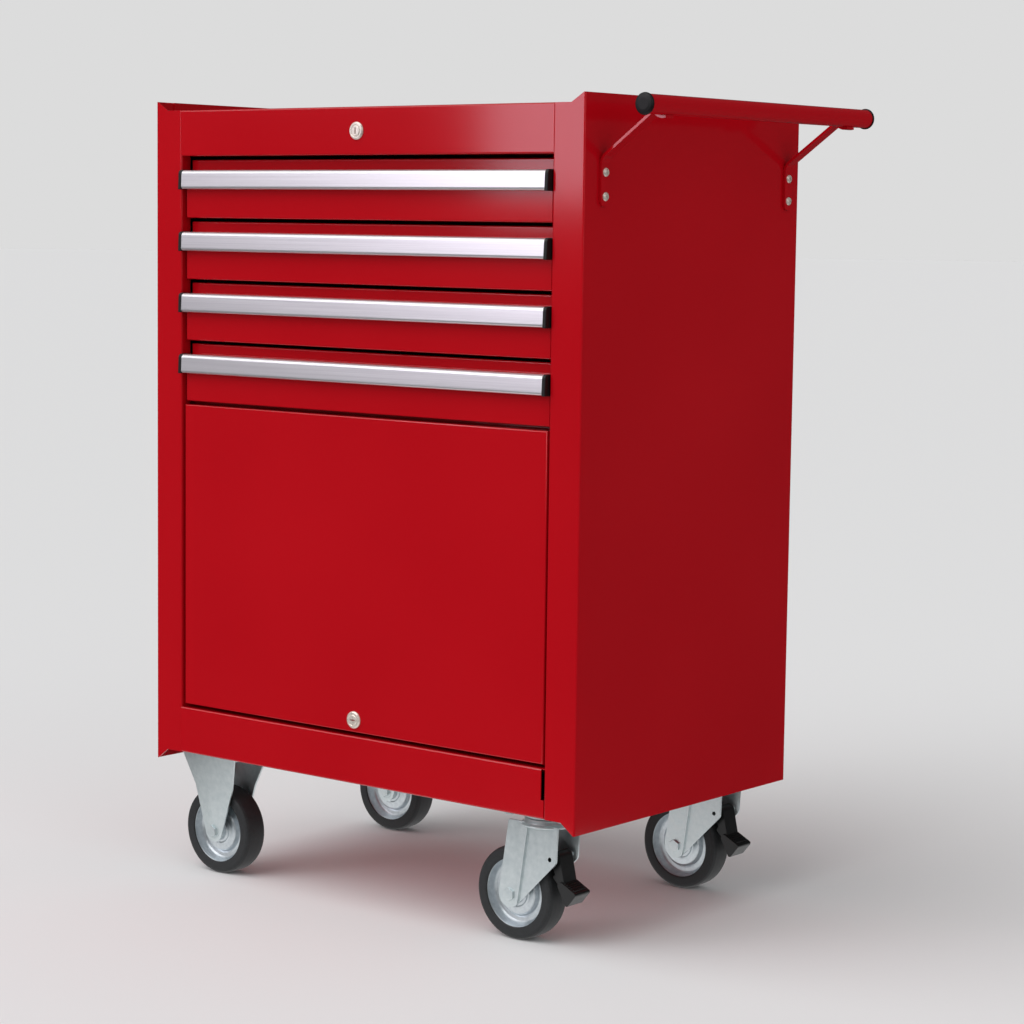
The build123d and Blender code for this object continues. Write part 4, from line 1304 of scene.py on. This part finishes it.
def axle_bolt(name, middle):
    """Axle bolt along Y with a head, a nut, two washers and its shank."""
    reach = fork_outer + head_length / 2
    spots = [middle + Vector((0, side * reach, 0)) for side in (-1, 1)]
    ends = [hexagon("axle_head", spot, "Y", axle_head_radius, head_length) for spot in spots]
    front_washer = lathe("washer", middle - Vector((0, fork_outer, 0)), "Y", washer_outline, turned_edge)
    rear_washer = mirrored(front_washer, "washer_behind", FLIP_Y, middle)
    shank = lathe("axle_shank", middle, "Y", shank_outline)
    for turned in (front_washer, rear_washer, shank):
        polish(turned)
    return join(name, *ends, front_washer, rear_washer, shank)


left_axle = axle_bolt("left_axle", first_middle)
swivel_axle = copy_of(left_axle, "front_swivel_bolts", axle - first_middle)
pedal_pin = lathe("pedal_pin", Vector((lug[0], axle.y, lug[1])), "Y", pin_outline, turned_edge, small_turn)
polish(pedal_pin)
front_pins = join("front_swivel_bolts", swivel_axle, pedal_pin)
place_copies(front_pins, end_shifts, "{}_swivel", "zinc_plated_steel", "{}_swivel_pins")

rear_axle = copy_of(left_axle, "rear_axle", rear_shift)
seat = Vector((first_middle.x, first_middle.y, plate_bottom))
corner = seat - plate_bolt_half
head_middle = corner - Vector((0, 0, head_length / 2))
plate_head = hexagon("plate_bolt", head_middle, "Z", plate_bolt_radius, head_length)
plate_bolt = join("plate_bolt", plate_head, lathe("plate_shank", corner, "Z", plate_shank, 0, coarse_turn))
spots = [
    Vector((x, y, 0)) + offset
    for offset in (Vector((0, 0, 0)), kingpin - Vector((seat.x, seat.y, 0)))
    for x in (0, 2 * plate_bolt_half.x)
    for y in (0, 2 * plate_bolt_half.y, rear_shift.y, rear_shift.y + 2 * plate_bolt_half.y)
]
bolts = [copy_of(plate_bolt, "plate_bolt_copy", spot) for spot in spots[1:]]
caster_bolts = join("caster_bolt_set", plate_bolt, *bolts, left_axle, rear_axle)
place(caster_bolts, "cabinet", "zinc_plated_steel", "caster_bolts")

# %% [markdown]
# ## Brake pedals
# Each swivel caster has a black foot lever: an arm from its pin, a shoe just clear of the tyre
# and a wedge to step on. They are taut lines round circles again, pulled to their widths, with
# round ribs across the tread.

# %% Brake pedals
pedal_width = 22 * MM
shoe_width = 19 * MM
tread_width = 26 * MM
hub_radius = 7 * MM
knee_shares = (1.20, 0.33)
knee_radius = 4 * MM
tip_shares = (1.54, 0.19)
heel_shares = (1.36, -0.03)
tread_radius = 2.5 * MM
shoe_reach = wheel_radius + 6 * MM
shoe_angle = math.radians(25)
shoe_radius = 3 * MM
rib_radius = 1.1 * MM
rib_count = 5
pedal_edge = 0.6 * MM
pedal_smooth_deg = 30


def from_axle(shares, radius):
    """Circle whose middle is given in shares of the wheel's radius from the axle."""
    return axle.x + shares[0] * wheel_radius, axle.z + shares[1] * wheel_radius, radius


def lever_part(name, circles, width):
    """Pull the taut line round some circles to a width about the wheel's middle."""
    piece = trace(name, [(x, axle.y - width / 2, z) for x, z in taut_line(circles)])
    fill()
    pull(y=width)
    face_out()
    close()
    return piece


knee = from_axle(knee_shares, knee_radius)
tip = from_axle(tip_shares, tread_radius)
heel = from_axle(heel_shares, tread_radius)
shoe_x = axle.x + shoe_reach * math.cos(shoe_angle)
shoe_z = axle.z + shoe_reach * math.sin(shoe_angle)
parts = [
    lever_part("pedal_arm", [(*lug, hub_radius), knee], pedal_width),
    lever_part("pedal_shoe", [(shoe_x, shoe_z, shoe_radius), knee], shoe_width),
    lever_part("pedal_tread", [knee, tip, heel], tread_width),
]
slope = Vector((tip[0] - knee[0], tip[1] - knee[1])).normalized()
rise = Vector((-slope.y, slope.x))
for step in range(rib_count):
    share = (step + 1) / (rib_count + 1)
    radius = knee_radius + (tread_radius - knee_radius) * share
    spot = Vector(knee[:2]).lerp(Vector(tip[:2]), share) + rise * radius
    parts.append(lever_part("pedal_rib", [(*spot, rib_radius)], tread_width - 4 * rib_radius))
front_pedal = join("front_foot_pedal", *parts)
soften(front_pedal, pedal_edge, smooth_deg=pedal_smooth_deg)
place_copies(front_pedal, end_shifts, "{}_pedal", "black_pedal", "{}_brake_pedal")

# %% [markdown]
# ## What stays as it is
# Slides, uprights, the shelf, the pan and the lock's bar are plain inside pieces whose solids
# already have the right shape. They keep their solids and only change their material slots.

# %% Finish the inside pieces
for row in frame["record"]["subparts"]:
    for slot in frame["nodes"][row["node"]].material_slots:
        slot.material = finishes[row["material_slot"]]
print("solids with a finish:", len(frame["nodes"]))
